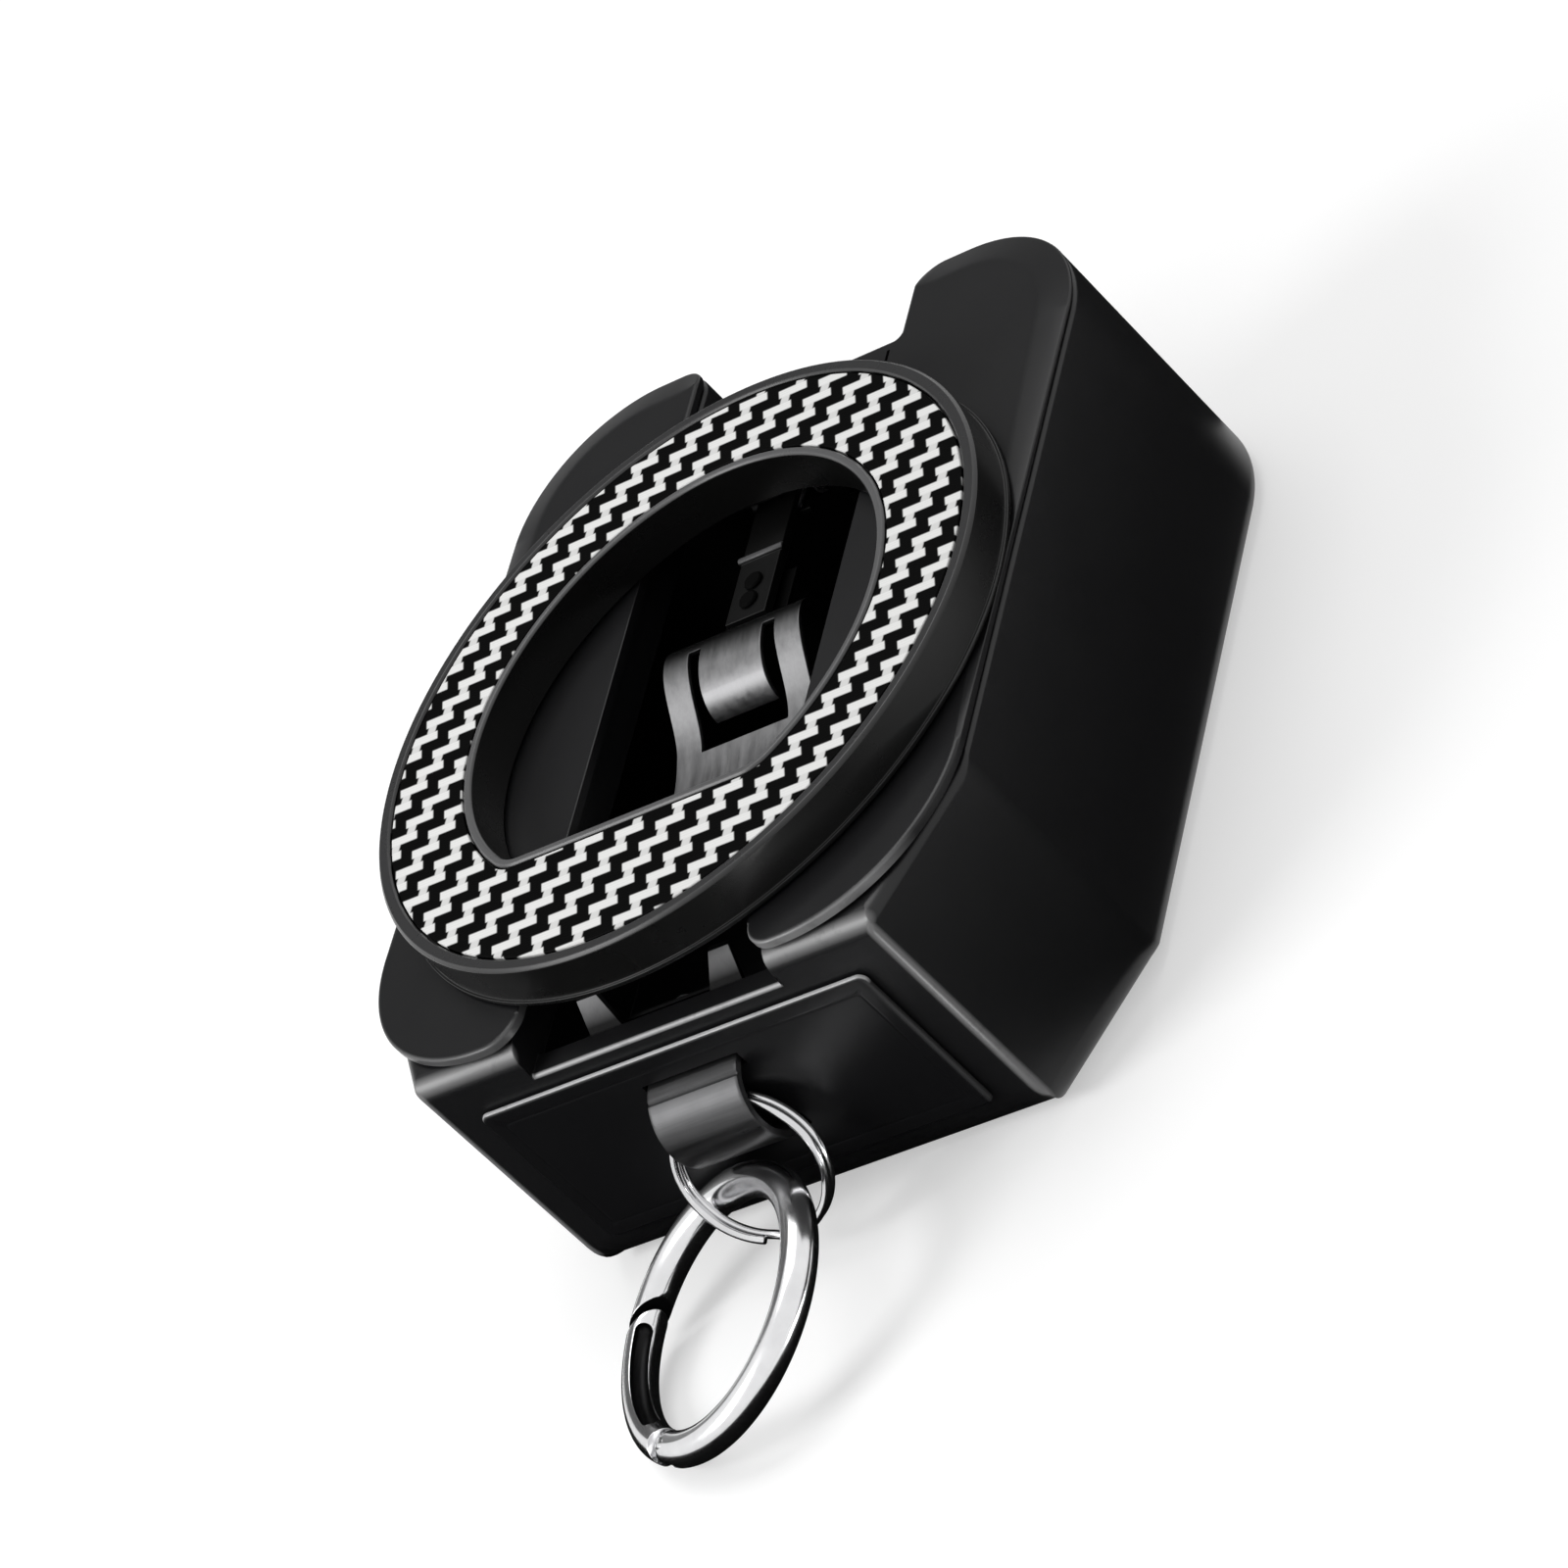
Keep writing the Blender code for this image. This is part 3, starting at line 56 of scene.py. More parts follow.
MM = 0.001
shell_low, shell_high = (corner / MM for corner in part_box("rear_shell"))
half_width, foot_y, head_y, case_depth = shell_high.x, shell_low.y, shell_high.y, shell_high.z
side_wall, back_wall, front_wall, foot_wall = 1.95, 2.0, 3.9, 2.5
roof_z, floor_y = case_depth - front_wall, foot_y + foot_wall
chamfer_across, chamfer_along = 7.45, 14.6
slot_half, sill_rise = 14.2, 0.6
bridge_top_y, bridge_low_y = head_y - 9.3, head_y - 17.5
notch_half, notch_radius, notch_fillet, head_radius = 13.1, 2.8, 0.9, 14.7
foot_corner, chamfer_corner = 0.9, 5.0
back_round, back_foot_round, front_round, front_foot_round = 2.3, 5.0, 0.5, 2.0
seat_gap = 0.3


def rounded(corners, step=4.0, parts=None):
    """Closed outline through (x, y, radius) corners, each turned on its own radius."""
    points = []
    for i, (x, y, radius) in enumerate(corners):
        corner = Vector((x, y))
        back = (Vector(corners[i - 1][:2]) - corner).normalized()
        ahead = (Vector(corners[(i + 1) % len(corners)][:2]) - corner).normalized()
        half = back.angle(ahead) / 2
        centre = corner + (back + ahead).normalized() * radius / sin(half)
        start = corner + back * radius / tan(half) - centre
        end = corner + ahead * radius / tan(half) - centre
        first = atan2(start.y, start.x)
        sweep = (atan2(end.y, end.x) - first + pi) % (2 * pi) - pi
        pieces = parts[i] if parts else max(3, ceil(abs(sweep) / radians(step)))
        for k in range(pieces + 1):
            angle = first + sweep * k / pieces
            points.append(centre + radius * Vector((cos(angle), sin(angle))))
    return points


def mitres(points):
    """Outward direction of each point, long enough to move both its edges by one."""
    found = []
    for i, point in enumerate(points):
        back = (point - points[i - 1]).normalized()
        ahead = (points[(i + 1) % len(points)] - point).normalized()
        first, second = Vector((back.y, -back.x)), Vector((ahead.y, -ahead.x))
        found.append((first + second) / (1 + first.dot(second)))
    return found


def solid(name, bm):
    """An object from a bmesh drawn in millimetres, its faces pointing out."""
    bmesh.ops.recalc_face_normals(bm, faces=bm.faces)
    bmesh.ops.scale(bm, vec=(MM, MM, MM), verts=bm.verts)
    mesh = bpy.data.meshes.new(name)
    bm.to_mesh(mesh)
    bm.free()
    obj = bpy.data.objects.new(name, mesh)
    bpy.context.scene.collection.objects.link(obj)
    return obj


def strips(bm, pairs):
    """Faces between pairs of closed rows of vertices."""
    for low, high in pairs:
        for i in range(len(low)):
            j = (i + 1) % len(low)
            bm.faces.new((low[i], low[j], high[j], high[i]))


def lofted(name, loops, ring=False):
    """Skins loops of equal length. The ends are capped, or the last loop meets the first in a ring."""
    bm = bmesh.new()
    rows = [[bm.verts.new(point) for point in loop] for loop in loops]
    pairs = list(zip(rows, rows[1:]))
    if ring:
        pairs.append((rows[-1], rows[0]))
    else:
        bm.faces.new(list(reversed(rows[0])))
        bm.faces.new(rows[-1])
    strips(bm, pairs)
    return solid(name, bm)


def block(low, high):
    """Box between two corners, for cutting and joining."""
    flat = ((low[0], low[1]), (high[0], low[1]), (high[0], high[1]), (low[0], high[1]))
    return lofted("block", [[Vector((x, y, z)) for x, y in flat] for z in (low[2], high[2])])


def along(place, direction):
    """Matrix that puts local Z along a direction, at a place."""
    turn = direction.to_track_quat("Z", "Y").to_matrix().to_4x4()
    return Matrix.Translation(place) @ turn


def turned(name, profile, matrix, sides=48):
    """Turns (radius, height) steps about local Z. The first and last steps lie on the axis."""
    bm = bmesh.new()
    tips = [bm.verts.new(matrix @ Vector((0, 0, height))) for _, height in (profile[0], profile[-1])]
    rows = []
    for radius, height in profile[1:-1]:
        angles = [2 * pi * k / sides for k in range(sides)]
        points = [Vector((radius * cos(a), radius * sin(a), height)) for a in angles]
        rows.append([bm.verts.new(matrix @ point) for point in points])
    strips(bm, zip(rows, rows[1:]))
    for tip, row in zip(tips, (rows[0], rows[-1])):
        for i in range(sides):
            bm.faces.new((tip, row[i], row[(i + 1) % sides]))
    return solid(name, bm)


def rod(start, end, radius, sides=32):
    """Plain round bar between two points, for cutting and joining."""
    way = Vector(end) - Vector(start)
    profile = [(0, 0), (radius, 0), (radius, way.length), (0, way.length)]
    return turned("rod", profile, along(start, way), sides)


def baked(obj):
    """Makes the object's modifiers part of its mesh."""
    graph = bpy.context.evaluated_depsgraph_get()
    mesh = bpy.data.meshes.new_from_object(obj.evaluated_get(graph))
    obj.modifiers.clear()
    obj.data = mesh
    mesh.name = obj.name
    return obj


def joined(obj, tools, operation):
    """Cuts the tools out of an object, or joins them to it."""
    for tool in tools:
        boolean = obj.modifiers.new("join", "BOOLEAN")
        boolean.operation, boolean.solver, boolean.object = operation, "EXACT", tool
        baked(obj)
        bpy.data.objects.remove(tool, do_unlink=True)
    return obj


def cut(obj, *tools):
    return joined(obj, tools, "DIFFERENCE")


def add(obj, *tools):
    return joined(obj, tools, "UNION")


def eased(obj, width, segments=3, angle=30, crease=35):
    """Smooth curves, flat flats, and every sharp edge broken by a small radius in millimetres."""
    obj.data.shade_smooth()
    obj.data.set_sharp_from_angle(angle=radians(crease))
    if width:
        edge = obj.modifiers.new("broken edges", "BEVEL")
        edge.width, edge.segments, edge.limit_method = width * MM, segments, "ANGLE"
        edge.angle_limit, edge.use_clamp_overlap = radians(angle), False
        edge.miter_outer = "MITER_ARC"
    weigh = obj.modifiers.new("flat flats", "WEIGHTED_NORMAL")
    weigh.keep_sharp = not width
    weigh.weight = 80
    return obj


def effect(name, inputs, *outputs):
    """An empty shader group with its sockets. Returns the group and its two end nodes."""
    tree = bpy.data.node_groups.new(name, "ShaderNodeTree")
    for label, value in inputs.items():
        socket = tree.interface.new_socket(label, in_out="INPUT", socket_type="NodeSocketFloat")
        socket.default_value = value
    for label in outputs:
        tree.interface.new_socket(label, in_out="OUTPUT", socket_type="NodeSocketFloat")
    return tree, tree.nodes.new("NodeGroupInput"), tree.nodes.new("NodeGroupOutput")


def wired(tree, kind, settings=(), **sockets):
    """A node with its settings, and its sockets given by values or by other nodes' outputs."""
    node = tree.nodes.new(kind)
    for key, value in dict(settings).items():
        setattr(node, key, value)
    for label, value in sockets.items():
        key = int(label[1:]) if label[0] == "n" and label[1:].isdigit() else label.replace("_", " ")
        if isinstance(value, bpy.types.NodeSocket):
            tree.links.new(value, node.inputs[key])
        else:
            node.inputs[key].default_value = value
    return node


def reckon(tree, operation, first, second=0.0, third=0.0):
    """One Math node's result."""
    kind = {"operation": operation}
    return wired(tree, "ShaderNodeMath", kind, n0=first, n1=second, n2=third).outputs[0]


def ramp(tree, value, start, end, low=0.0, high=1.0):
    """Goes from low to high as a value goes from start to end."""
    return wired(tree, "ShaderNodeMapRange", n0=value, n1=start, n2=end, n3=low, n4=high).outputs[0]


def place_on(tree):
    """Where a point of the surface lies, in metres from the case's origin."""
    return tree.nodes.new("ShaderNodeTexCoord").outputs["Object"]


def place_along(tree, axis):
    """Where a point of the surface lies along one axis."""
    return wired(tree, "ShaderNodeSeparateXYZ", n0=place_on(tree)).outputs[axis]


def blended(tree, share, first, second):
    """A colour between two colours, each written out or taken from another node."""
    mix = wired(tree, "ShaderNodeMix", {"data_type": "RGBA"}, n0=share)
    for socket, colour in zip((mix.inputs[6], mix.inputs[7]), (first, second)):
        if isinstance(colour, tuple):
            socket.default_value = (*colour, 1.0)
        else:
            tree.links.new(colour, socket)
    return mix.outputs[2]


# Moulded or sprayed surface: a fine grain in the height, and slow patches in tone and gloss.
grain_sizes = {"Grain size": 0.2, "Patch size": 9.0}
grain, grain_in, grain_out = effect("surface grain", grain_sizes, "Height", "Patch", "Speckle")
place = place_on(grain)
fine_scale = reckon(grain, "DIVIDE", 1000.0, grain_in.outputs["Grain size"])
slow_scale = reckon(grain, "DIVIDE", 1000.0, grain_in.outputs["Patch size"])
fine = wired(grain, "ShaderNodeTexNoise", Vector=place, Scale=fine_scale, Detail=3.0, Roughness=0.6)
pits = wired(grain, "ShaderNodeTexVoronoi", Vector=place, Scale=fine_scale)
slow = wired(grain, "ShaderNodeTexNoise", Vector=place, Scale=slow_scale, Detail=5.0, Roughness=0.55)
pitted = reckon(grain, "MULTIPLY", pits.outputs["Distance"], 0.5)
height = reckon(grain, "ADD", fine.outputs["Fac"], pitted)
grain.links.new(height, grain_out.inputs["Height"])
grain.links.new(slow.outputs["Fac"], grain_out.inputs["Patch"])
grain.links.new(fine.outputs["Fac"], grain_out.inputs["Speckle"])

# Handling: hair-thin scuffs and rubbed spots that catch a little more light.
wear, wear_in, wear_out = effect("handling marks", {"Amount": 0.3, "Size": 6.0}, "Mask")
place = place_on(wear)
wear_scale = reckon(wear, "DIVIDE", 1000.0, wear_in.outputs["Size"])
cloud = wired(wear, "ShaderNodeTexNoise", Vector=place, Scale=wear_scale, Detail=6.0, Roughness=0.7)
drawn = wired(wear, "ShaderNodeMapping", Vector=place, Rotation=(0.4, 0.3, 0.7), Scale=(1.0, 14.0, 3.0))
drawn, hair_scale = drawn.outputs[0], reckon(wear, "MULTIPLY", wear_scale, 1.5)
hairs = wired(wear, "ShaderNodeTexNoise", Vector=drawn, Scale=hair_scale, Detail=2.0, Distortion=0.4)
spots = ramp(wear, cloud.outputs["Fac"], 0.55, 0.80)
lines = ramp(wear, hairs.outputs["Fac"], 0.66, 0.74)
both = reckon(wear, "MAXIMUM", spots, reckon(wear, "MULTIPLY", lines, spots))
wear.links.new(reckon(wear, "MULTIPLY", both, wear_in.outputs["Amount"]), wear_out.inputs["Mask"])


def placed(tree, group, **values):
    """A shader group set into a material with its own values."""
    return wired(tree, "ShaderNodeGroup", {"node_tree": group}, **values)


def skinned(tree, grain_mm, patch_mm, amount, marks_mm):
    """The outputs of the grain, and the handling marks, both set into a material."""
    skin = placed(tree, grain, Grain_size=grain_mm, Patch_size=patch_mm)
    marks = placed(tree, wear, Amount=amount, Size=marks_mm)
    return skin.outputs, marks.outputs["Mask"]


def between(tree, share, low, high):
    """A colour, or a value, that goes from low to high with a share from 0 to 1."""
    if isinstance(low, tuple):
        return blended(tree, share, low, high)
    return ramp(tree, share, 0.0, 1.0, low, high)


def bare(name, metallic, specular, **values):
    """A new material with its constant values on the shader's own sockets."""
    material = bpy.data.materials.new(name)
    material.use_nodes = True
    shader = material.node_tree.nodes["Principled BSDF"]
    values.update(Metallic=metallic, Specular_IOR_Level=specular)
    for label, value in values.items():
        shader.inputs[label.replace("_", " ")].default_value = value
    return material, material.node_tree, shader


def finished(shader, colour, gloss, height, strength, distance=0.02):
    """Wires a colour, a roughness and a relief to a shader."""
    tree = shader.id_data
    bump = wired(tree, "ShaderNodeBump", Height=height, Strength=strength, Distance=distance * MM)
    tree.links.new(colour, shader.inputs["Base Color"])
    tree.links.new(gloss, shader.inputs["Roughness"])
    tree.links.new(bump.outputs["Normal"], shader.inputs["Normal"])


def moulded(name, dark, light, rough, specular, grain_mm, depth):
    """Black polymer or enamel: grain, slow patches of tone and gloss, and light scuffs."""
    material, tree, shader = bare(name, 0.0, specular)
    skin, marks = skinned(tree, grain_mm, 11.0, 0.25, 7.0)
    tone = reckon(tree, "MULTIPLY_ADD", skin["Patch"], 0.7, marks)
    gloss = between(tree, skin["Patch"], rough + 0.08, rough - 0.08)
    gloss = reckon(tree, "SUBTRACT", gloss, reckon(tree, "MULTIPLY", marks, 0.12))
    finished(shader, between(tree, tone, dark, light), gloss, skin["Height"], depth)
    return material


def off_line(tree, axis, value, both_sides=False):
    """Distance in metres past a level in millimetres, on one side of the case or on both."""
    spot = place_along(tree, axis)
    return reckon(tree, "SUBTRACT", reckon(tree, "ABSOLUTE", spot) if both_sides else spot, value * MM)


def along_edge(tree, first, second, full, none):
    """1 near the edge where both distances are nothing, fading to 0. The reaches are in millimetres."""
    away = reckon(tree, "MULTIPLY_ADD", first, first, reckon(tree, "MULTIPLY", second, second))
    return ramp(tree, reckon(tree, "SQRT", away), none * MM, full * MM)


def painted_highlight(tree, share, tone):
    """Lightens the finish along a mask as a painted highlight, broken up a little by handling marks."""
    shader = tree.nodes["Principled BSDF"]
    marks = placed(tree, wear, Amount=0.5, Size=3.0)
    share = reckon(tree, "MULTIPLY", share, reckon(tree, "SUBTRACT", 1.0, marks.outputs["Mask"]))
    finish = shader.inputs["Base Color"].links[0].from_socket
    tree.links.new(blended(tree, share, finish, (tone, tone, tone * 1.01)), shader.inputs["Base Color"])


def dressed(obj, material, body, slot, *nodes):
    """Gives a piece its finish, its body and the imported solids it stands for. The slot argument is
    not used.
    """
    obj.data.materials.clear()
    obj.data.materials.append(material)
    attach(obj, body)
    if nodes:
        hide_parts(*nodes)
    return obj


def case_outline(side_in, foot_in):
    """The case's outline drawn in from its sides and its foot. Corner radii follow the offset."""
    chamfer_in = (side_in + foot_in) / 2
    way = Vector((chamfer_across, chamfer_along)).normalized()
    start = Vector((half_width - chamfer_across, foot_y)) + Vector((-way.y, way.x)) * chamfer_in
    side_x, foot_line = half_width - side_in, foot_y + foot_in
    right = [
        (start.x + way.x / way.y * (foot_line - start.y), foot_line, foot_corner, foot_in),
        (side_x, start.y + way.y / way.x * (side_x - start.x), chamfer_corner, chamfer_in),
        (side_x, head_y - side_in, head_radius, side_in),
        (notch_half + side_in, head_y - side_in, notch_radius, side_in),
        (notch_half + side_in, bridge_top_y - side_in, notch_fillet + side_in, 0.0),
    ]
    right = [(x, y, max(0.3, radius - inset)) for x, y, radius, inset in right]
    left = [(-x, y, radius) for x, y, radius in reversed(right)]
    parts = [6, 7, 30, 12, 8]
    return rounded(right + left, parts=parts + parts[::-1])


def shell_loop(level, side_radius, foot_radius, turn, way):
    """One loop of a rounded edge: the outline drawn in and set back after a turn in radians."""
    drawn = 1 - sin(turn)
    outline = case_outline(side_radius * drawn, foot_radius * drawn)
    loop = []
    for point, mitre in zip(outline, mitres(outline)):
        radius = side_radius + (foot_radius - side_radius) * max(0.0, -mitre.normalized().y)
        loop.append(Vector((point.x, point.y, level + way * radius * (1 - cos(turn)))))
    return loop


loops = [shell_loop(0.0, back_round, back_foot_round, pi / 2 * k / 10, 1) for k in range(11)]
front_turns = [pi / 2 * k / 7 for k in reversed(range(8))]
loops += [shell_loop(case_depth, front_round, front_foot_round, turn, -1) for turn in front_turns]
case_shell = lofted("case_shell", loops)
pocket = case_outline(side_wall, foot_wall)
cut(
    case_shell,
    lofted("pocket", [[Vector((p.x, p.y, z)) for p in pocket] for z in (back_wall, roof_z)]),
    block((-slot_half, floor_y, roof_z - 3), (slot_half, bridge_low_y, case_depth + 3)),
    block((-slot_half, foot_y - 3, roof_z + sill_rise), (slot_half, floor_y + 1, case_depth + 3)),
)
ring_y = (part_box("bezel_ring")[0].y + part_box("bezel_ring")[1].y) / 2 / MM
screw_circle, screw_hole, head_hole, head_depth = 28.4, 1.05, 2.3, 1.6
ring_screw_places = []
for turn in (30, 150, 210, 330):
    x, y = screw_circle * cos(radians(turn)), ring_y + screw_circle * sin(radians(turn))
    ring_screw_places.append((x, y))
    cut(
        case_shell,
        rod((x, y, roof_z - 1), (x, y, roof_z + head_depth), head_hole),
        rod((x, y, roof_z), (x, y, case_depth + 1), screw_hole, 24),
    )
lug_height, tunnel_radius, strap_thick, lug_half = 15.3, 4.0, 0.9, 5.1


def leg_slots(near, far):
    """Cutters for the strap's two legs, between two depths."""
    low, high = tunnel_radius - seat_gap, tunnel_radius + strap_thick + seat_gap
    width = lug_half + seat_gap
    spans = ((lug_height - high, lug_height - low), (lug_height + low, lug_height + high))
    return [block((-width, near, low_z), (width, far, high_z)) for low_z, high_z in spans]


cut(case_shell, *leg_slots(foot_y - 2, floor_y + 2))
# The slot's sill is rolled over where it meets the foot.
sill_z, sill_roll = roof_z + sill_rise, 0.45
roll_over = [(foot_y - 1, sill_z + 1), (foot_y - 1, sill_z - sill_roll)]
for k in range(9):
    turn = pi / 2 * k / 8
    roll_over.append((foot_y + sill_roll * (1 - cos(turn)), sill_z - sill_roll * (1 - sin(turn))))
roll_over.append((foot_y + sill_roll, sill_z + 1))
roll_ends = [[Vector((x, *spot)) for spot in roll_over] for x in (-slot_half, slot_half)]
cut(case_shell, lofted("roll over", roll_ends))
eased(case_shell, 0.14, 2, 40, 40)
case_dark, case_light = (0.0035, 0.0035, 0.004), (0.010, 0.010, 0.011)
case_grain = {"rough": 0.36, "specular": 0.40, "grain_mm": 0.16, "depth": 0.25}
case_polymer = moulded("case polymer", case_dark, case_light, **case_grain)
tree = case_polymer.node_tree
# Painted highlights: along the rolled front edge at the foot, along the foot's corner edges by the
# chamfers, and along the sill's rolled edge in the slot.
off_foot = off_line(tree, "Y", foot_y)
roll_edge = along_edge(tree, off_foot, off_line(tree, "Z", case_depth), 0.85, 1.5)
in_slot = reckon(tree, "LESS_THAN", off_line(tree, "X", slot_half, True), 0.0)
sill_line = along_edge(tree, off_foot, off_line(tree, "Z", sill_z), 0.2, 0.42)
off_corner = off_line(tree, "X", half_width - chamfer_across, True)
corner_edge = along_edge(tree, off_foot, off_corner, 0.38, 0.75)
painted_highlight(tree, reckon(tree, "MAXIMUM", roll_edge, corner_edge), 0.17)
painted_highlight(tree, reckon(tree, "MULTIPLY", in_slot, sill_line), 0.36)
dressed(case_shell, case_polymer, "case", "shell_black", "rear_shell")

# ---------------------------------------------------------------------------
# Front plate. Thin black enamelled steel, blanked to two lobes that the bridge joins above the slot.
# Its heads carry a wide, softly rolled bevel. Screws from inside hold it under the bezel ring.

plate_low, plate_high = (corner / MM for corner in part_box("front_plate"))
plate_z, front_z = plate_low.z, plate_high.z
plate_foot_y, plate_slot = plate_low.y, 13.1
slot_corner, lobe_foot_radius, bridge_corner = 3.3, 16.4, 1.5
right_lobe = [
    (plate_slot, plate_foot_y, slot_corner),
    (half_width, plate_foot_y, lobe_foot_radius),
    (half_width, head_y, head_radius),
    (notch_half, head_y, notch_radius),
    (notch_half, bridge_top_y, notch_fillet),
]
left_lobe = [(-x, y, radius) for x, y, radius in reversed(right_lobe)]
under_bridge = [(side * plate_slot, bridge_low_y, bridge_corner) for side in (-1, 1)]
plate_outline = rounded(right_lobe + left_lobe + under_bridge, 2.5)
plate_mitres = mitres(plate_outline)
bevel_width, bevel_drop, bevel_fade = 3.6, 0.65, 12.0
rim_width, slot_rim_width, rim_drop, broken_edge, bevel_curve = 0.5, 0.12, 0.3, 0.14, 1.15
slot_rim_start, hair = plate_foot_y + 3, 0.01


def plate_rim(share_in):
    """The rolled rim, wide round the heads and fading down the lobes' sides."""
    loop = []
    for point, mitre in zip(plate_outline, plate_mitres):
        lobe = min(1.0, max(0.0, (point.y - head_y + head_radius + bevel_fade) / bevel_fade))
        across = bevel_width * lobe if abs(point.x) > notch_half + notch_radius + hair else 0.0
        upward = bevel_width if point.y > head_y - notch_radius - hair else 0.0
        up_slot = slot_rim_start < point.y < bridge_low_y + hair
        rim = slot_rim_width if up_slot and abs(point.x) < plate_slot + hair else rim_width
        x = point.x - mitre.x * max(rim, across) * share_in
        y = point.y - mitre.y * max(rim, across, upward * (mitre.y > 0)) * share_in
        wide = max(across, upward * max(0.0, mitre.y)) / bevel_width
        drop = min(rim, rim_drop) + (bevel_drop - min(rim, rim_drop)) * wide
        rolled = 1 - sqrt(1 - (1 - share_in) ** 2)
        inward = max(rim, bevel_width * wide) * share_in
        broken = broken_edge * (1 - sqrt(1 - (1 - min(1.0, inward / broken_edge)) ** 2))
        fall = drop * (wide * (1 - share_in) ** bevel_curve + (1 - wide) * rolled) + broken * wide
        loop.append(Vector((x, y, front_z - fall)))
    return loop


rim_shares = (0.0, 0.006, 0.014, 0.025, 0.04, 0.07, 0.12, 0.25, 0.4, 0.6, 0.8, 1.0)
plate_back = [Vector((p.x, p.y, plate_z)) for p in plate_outline]
lobed_plate = lofted("lobed_plate", [plate_back] + [plate_rim(share) for share in rim_shares])
for x, y in ring_screw_places:
    cut(lobed_plate, rod((x, y, plate_z - 1), (x, y, front_z + 1), screw_hole, 24))
# A short pressed mark on the bridge beside the right lobe, where the plate is located in its die.
mark_low, mark_high, mark_deep = (11.9, 29.4), (12.25, 31.0), 0.35
cut(lobed_plate, block((*mark_low, front_z - mark_deep), (*mark_high, front_z + 1)))
eased(lobed_plate, 0)
plate_dark, plate_light = (0.003, 0.003, 0.0035), (0.010, 0.010, 0.011)
plate_grain = {"rough": 0.34, "specular": 0.36, "grain_mm": 0.22, "depth": 0.22}
plate_enamel = moulded("plate enamel", plate_dark, plate_light, **plate_grain)
tree = plate_enamel.node_tree
# Painted highlight along the rolled rim at the lobes' foot, stronger towards the right.
at_foot = ramp(tree, off_line(tree, "Y", plate_foot_y), 7 * MM, 3 * MM)
at_rim = ramp(tree, off_line(tree, "Z", front_z), -0.02 * MM, -0.12 * MM)
to_right = ramp(tree, off_line(tree, "X", 0), -12 * MM, 12 * MM, 0.4)
painted_highlight(tree, reckon(tree, "MULTIPLY", reckon(tree, "MULTIPLY", at_foot, at_rim), to_right), 0.20)
dressed(lobed_plate, plate_enamel, "case", "plate_black", "front_plate")

# ---------------------------------------------------------------------------
# Bezel ring. Die-cast ring with a D-shaped window, two thin polished lips and a channel between them.
# Black semi-gloss on its wall, with a painted highlight along the lips, brighter on the inner lip. Four
# screws pull it onto the plate.

ring_low, ring_high = (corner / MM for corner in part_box("bezel_ring"))
ring_z, ring_top, flange_radius = ring_low.z, ring_high.z, ring_high.x
flange_step, flange_thick, screw_bite = 0.27, 0.45, 2.9
ring_radius = flange_radius - flange_step
window_radius, window_chord, window_corner = 22.9, 17.96, 3.6
outer_lip, inner_lip, lip_round, wall_round, channel_depth = 1.4, 0.9, 0.22, 0.308, 1.0


def window_reach(angle, out):
    """Distance from the ring's centre to the D-shaped window's edge, moved outward by out."""
    radius, chord, corner = window_radius + out, window_chord + out, window_corner + out
    rise = corner - chord
    reach = sqrt((radius - corner) ** 2 - rise**2)
    direction = Vector((cos(angle), sin(angle)))
    from_foot = abs((angle + pi / 2 + pi) % (2 * pi) - pi)
    if from_foot <= atan2(reach, chord):
        return chord / cos(from_foot)
    if from_foot >= atan2(reach, -rise):
        return radius
    centre = Vector((reach if direction.x > 0 else -reach, rise))
    ahead = centre.dot(direction)
    return ahead + sqrt(max(0.0, ahead**2 - centre.length_squared + corner**2))


# Its points are 1.5 degrees apart, with closer ones round the window's two corners.
ring_angles = [radians(1.5 * k) for k in range(240)]
corner_turn = atan2(window_corner - window_chord, sqrt(window_radius**2 - window_chord**2))
for side in (1, -1):
    middle = -pi / 2 + side * (corner_turn + pi / 2)
    ring_angles += [middle + radians(0.75 * k + 0.3) for k in range(-12, 13)]
ring_angles = sorted(angle % (2 * pi) for angle in ring_angles)
too_close = radians(0.2)
ring_angles = [a for a, b in zip(ring_angles, ring_angles[1:] + [3 * pi]) if b - a > too_close]


def ring_skin(name, outside, inside):
    """A ring through steps of (radius, z) outside and of (distance out from the window, z) inside."""
    steps = [([radius] * len(ring_angles), z) for radius, z in outside]
    steps += [([window_reach(angle, out) for angle in ring_angles], z) for out, z in inside]
    loops = []
    for reaches, z in steps:
        spokes = zip(reaches, ring_angles)
        loops.append([Vector((reach * cos(a), ring_y + reach * sin(a), z)) for reach, a in spokes])
    return lofted(name, loops, ring=True)


channel_out = ring_radius - outer_lip
channel_z = ring_top - channel_depth
bezel_wall = [
    (flange_radius, ring_z),
    (flange_radius, ring_z + flange_thick),
    (ring_radius, ring_z + flange_thick),
    (ring_radius, ring_top - wall_round),
    (ring_radius - wall_round, ring_top),
    (channel_out + lip_round, ring_top),
    (channel_out, ring_top - lip_round),
    (channel_out, channel_z),
]
window_wall = [
    (inner_lip, channel_z),
    (inner_lip, ring_top - lip_round),
    (inner_lip - lip_round, ring_top),
    (lip_round, ring_top),
    (0.0, ring_top - lip_round),
    (0.0, ring_z),
]
bezel = ring_skin("bezel", bezel_wall, window_wall)
for x, y in ring_screw_places:
    cut(bezel, rod((x, y, ring_z - 1), (x, y, ring_z + screw_bite), screw_hole, 24))
eased(bezel, 0.07, 3, 25, 60)


def height_mask(tree, low, high):
    """0 below one level and 1 above another, both in millimetres over the case's back."""
    return ramp(tree, place_along(tree, "Z"), low * MM, high * MM)


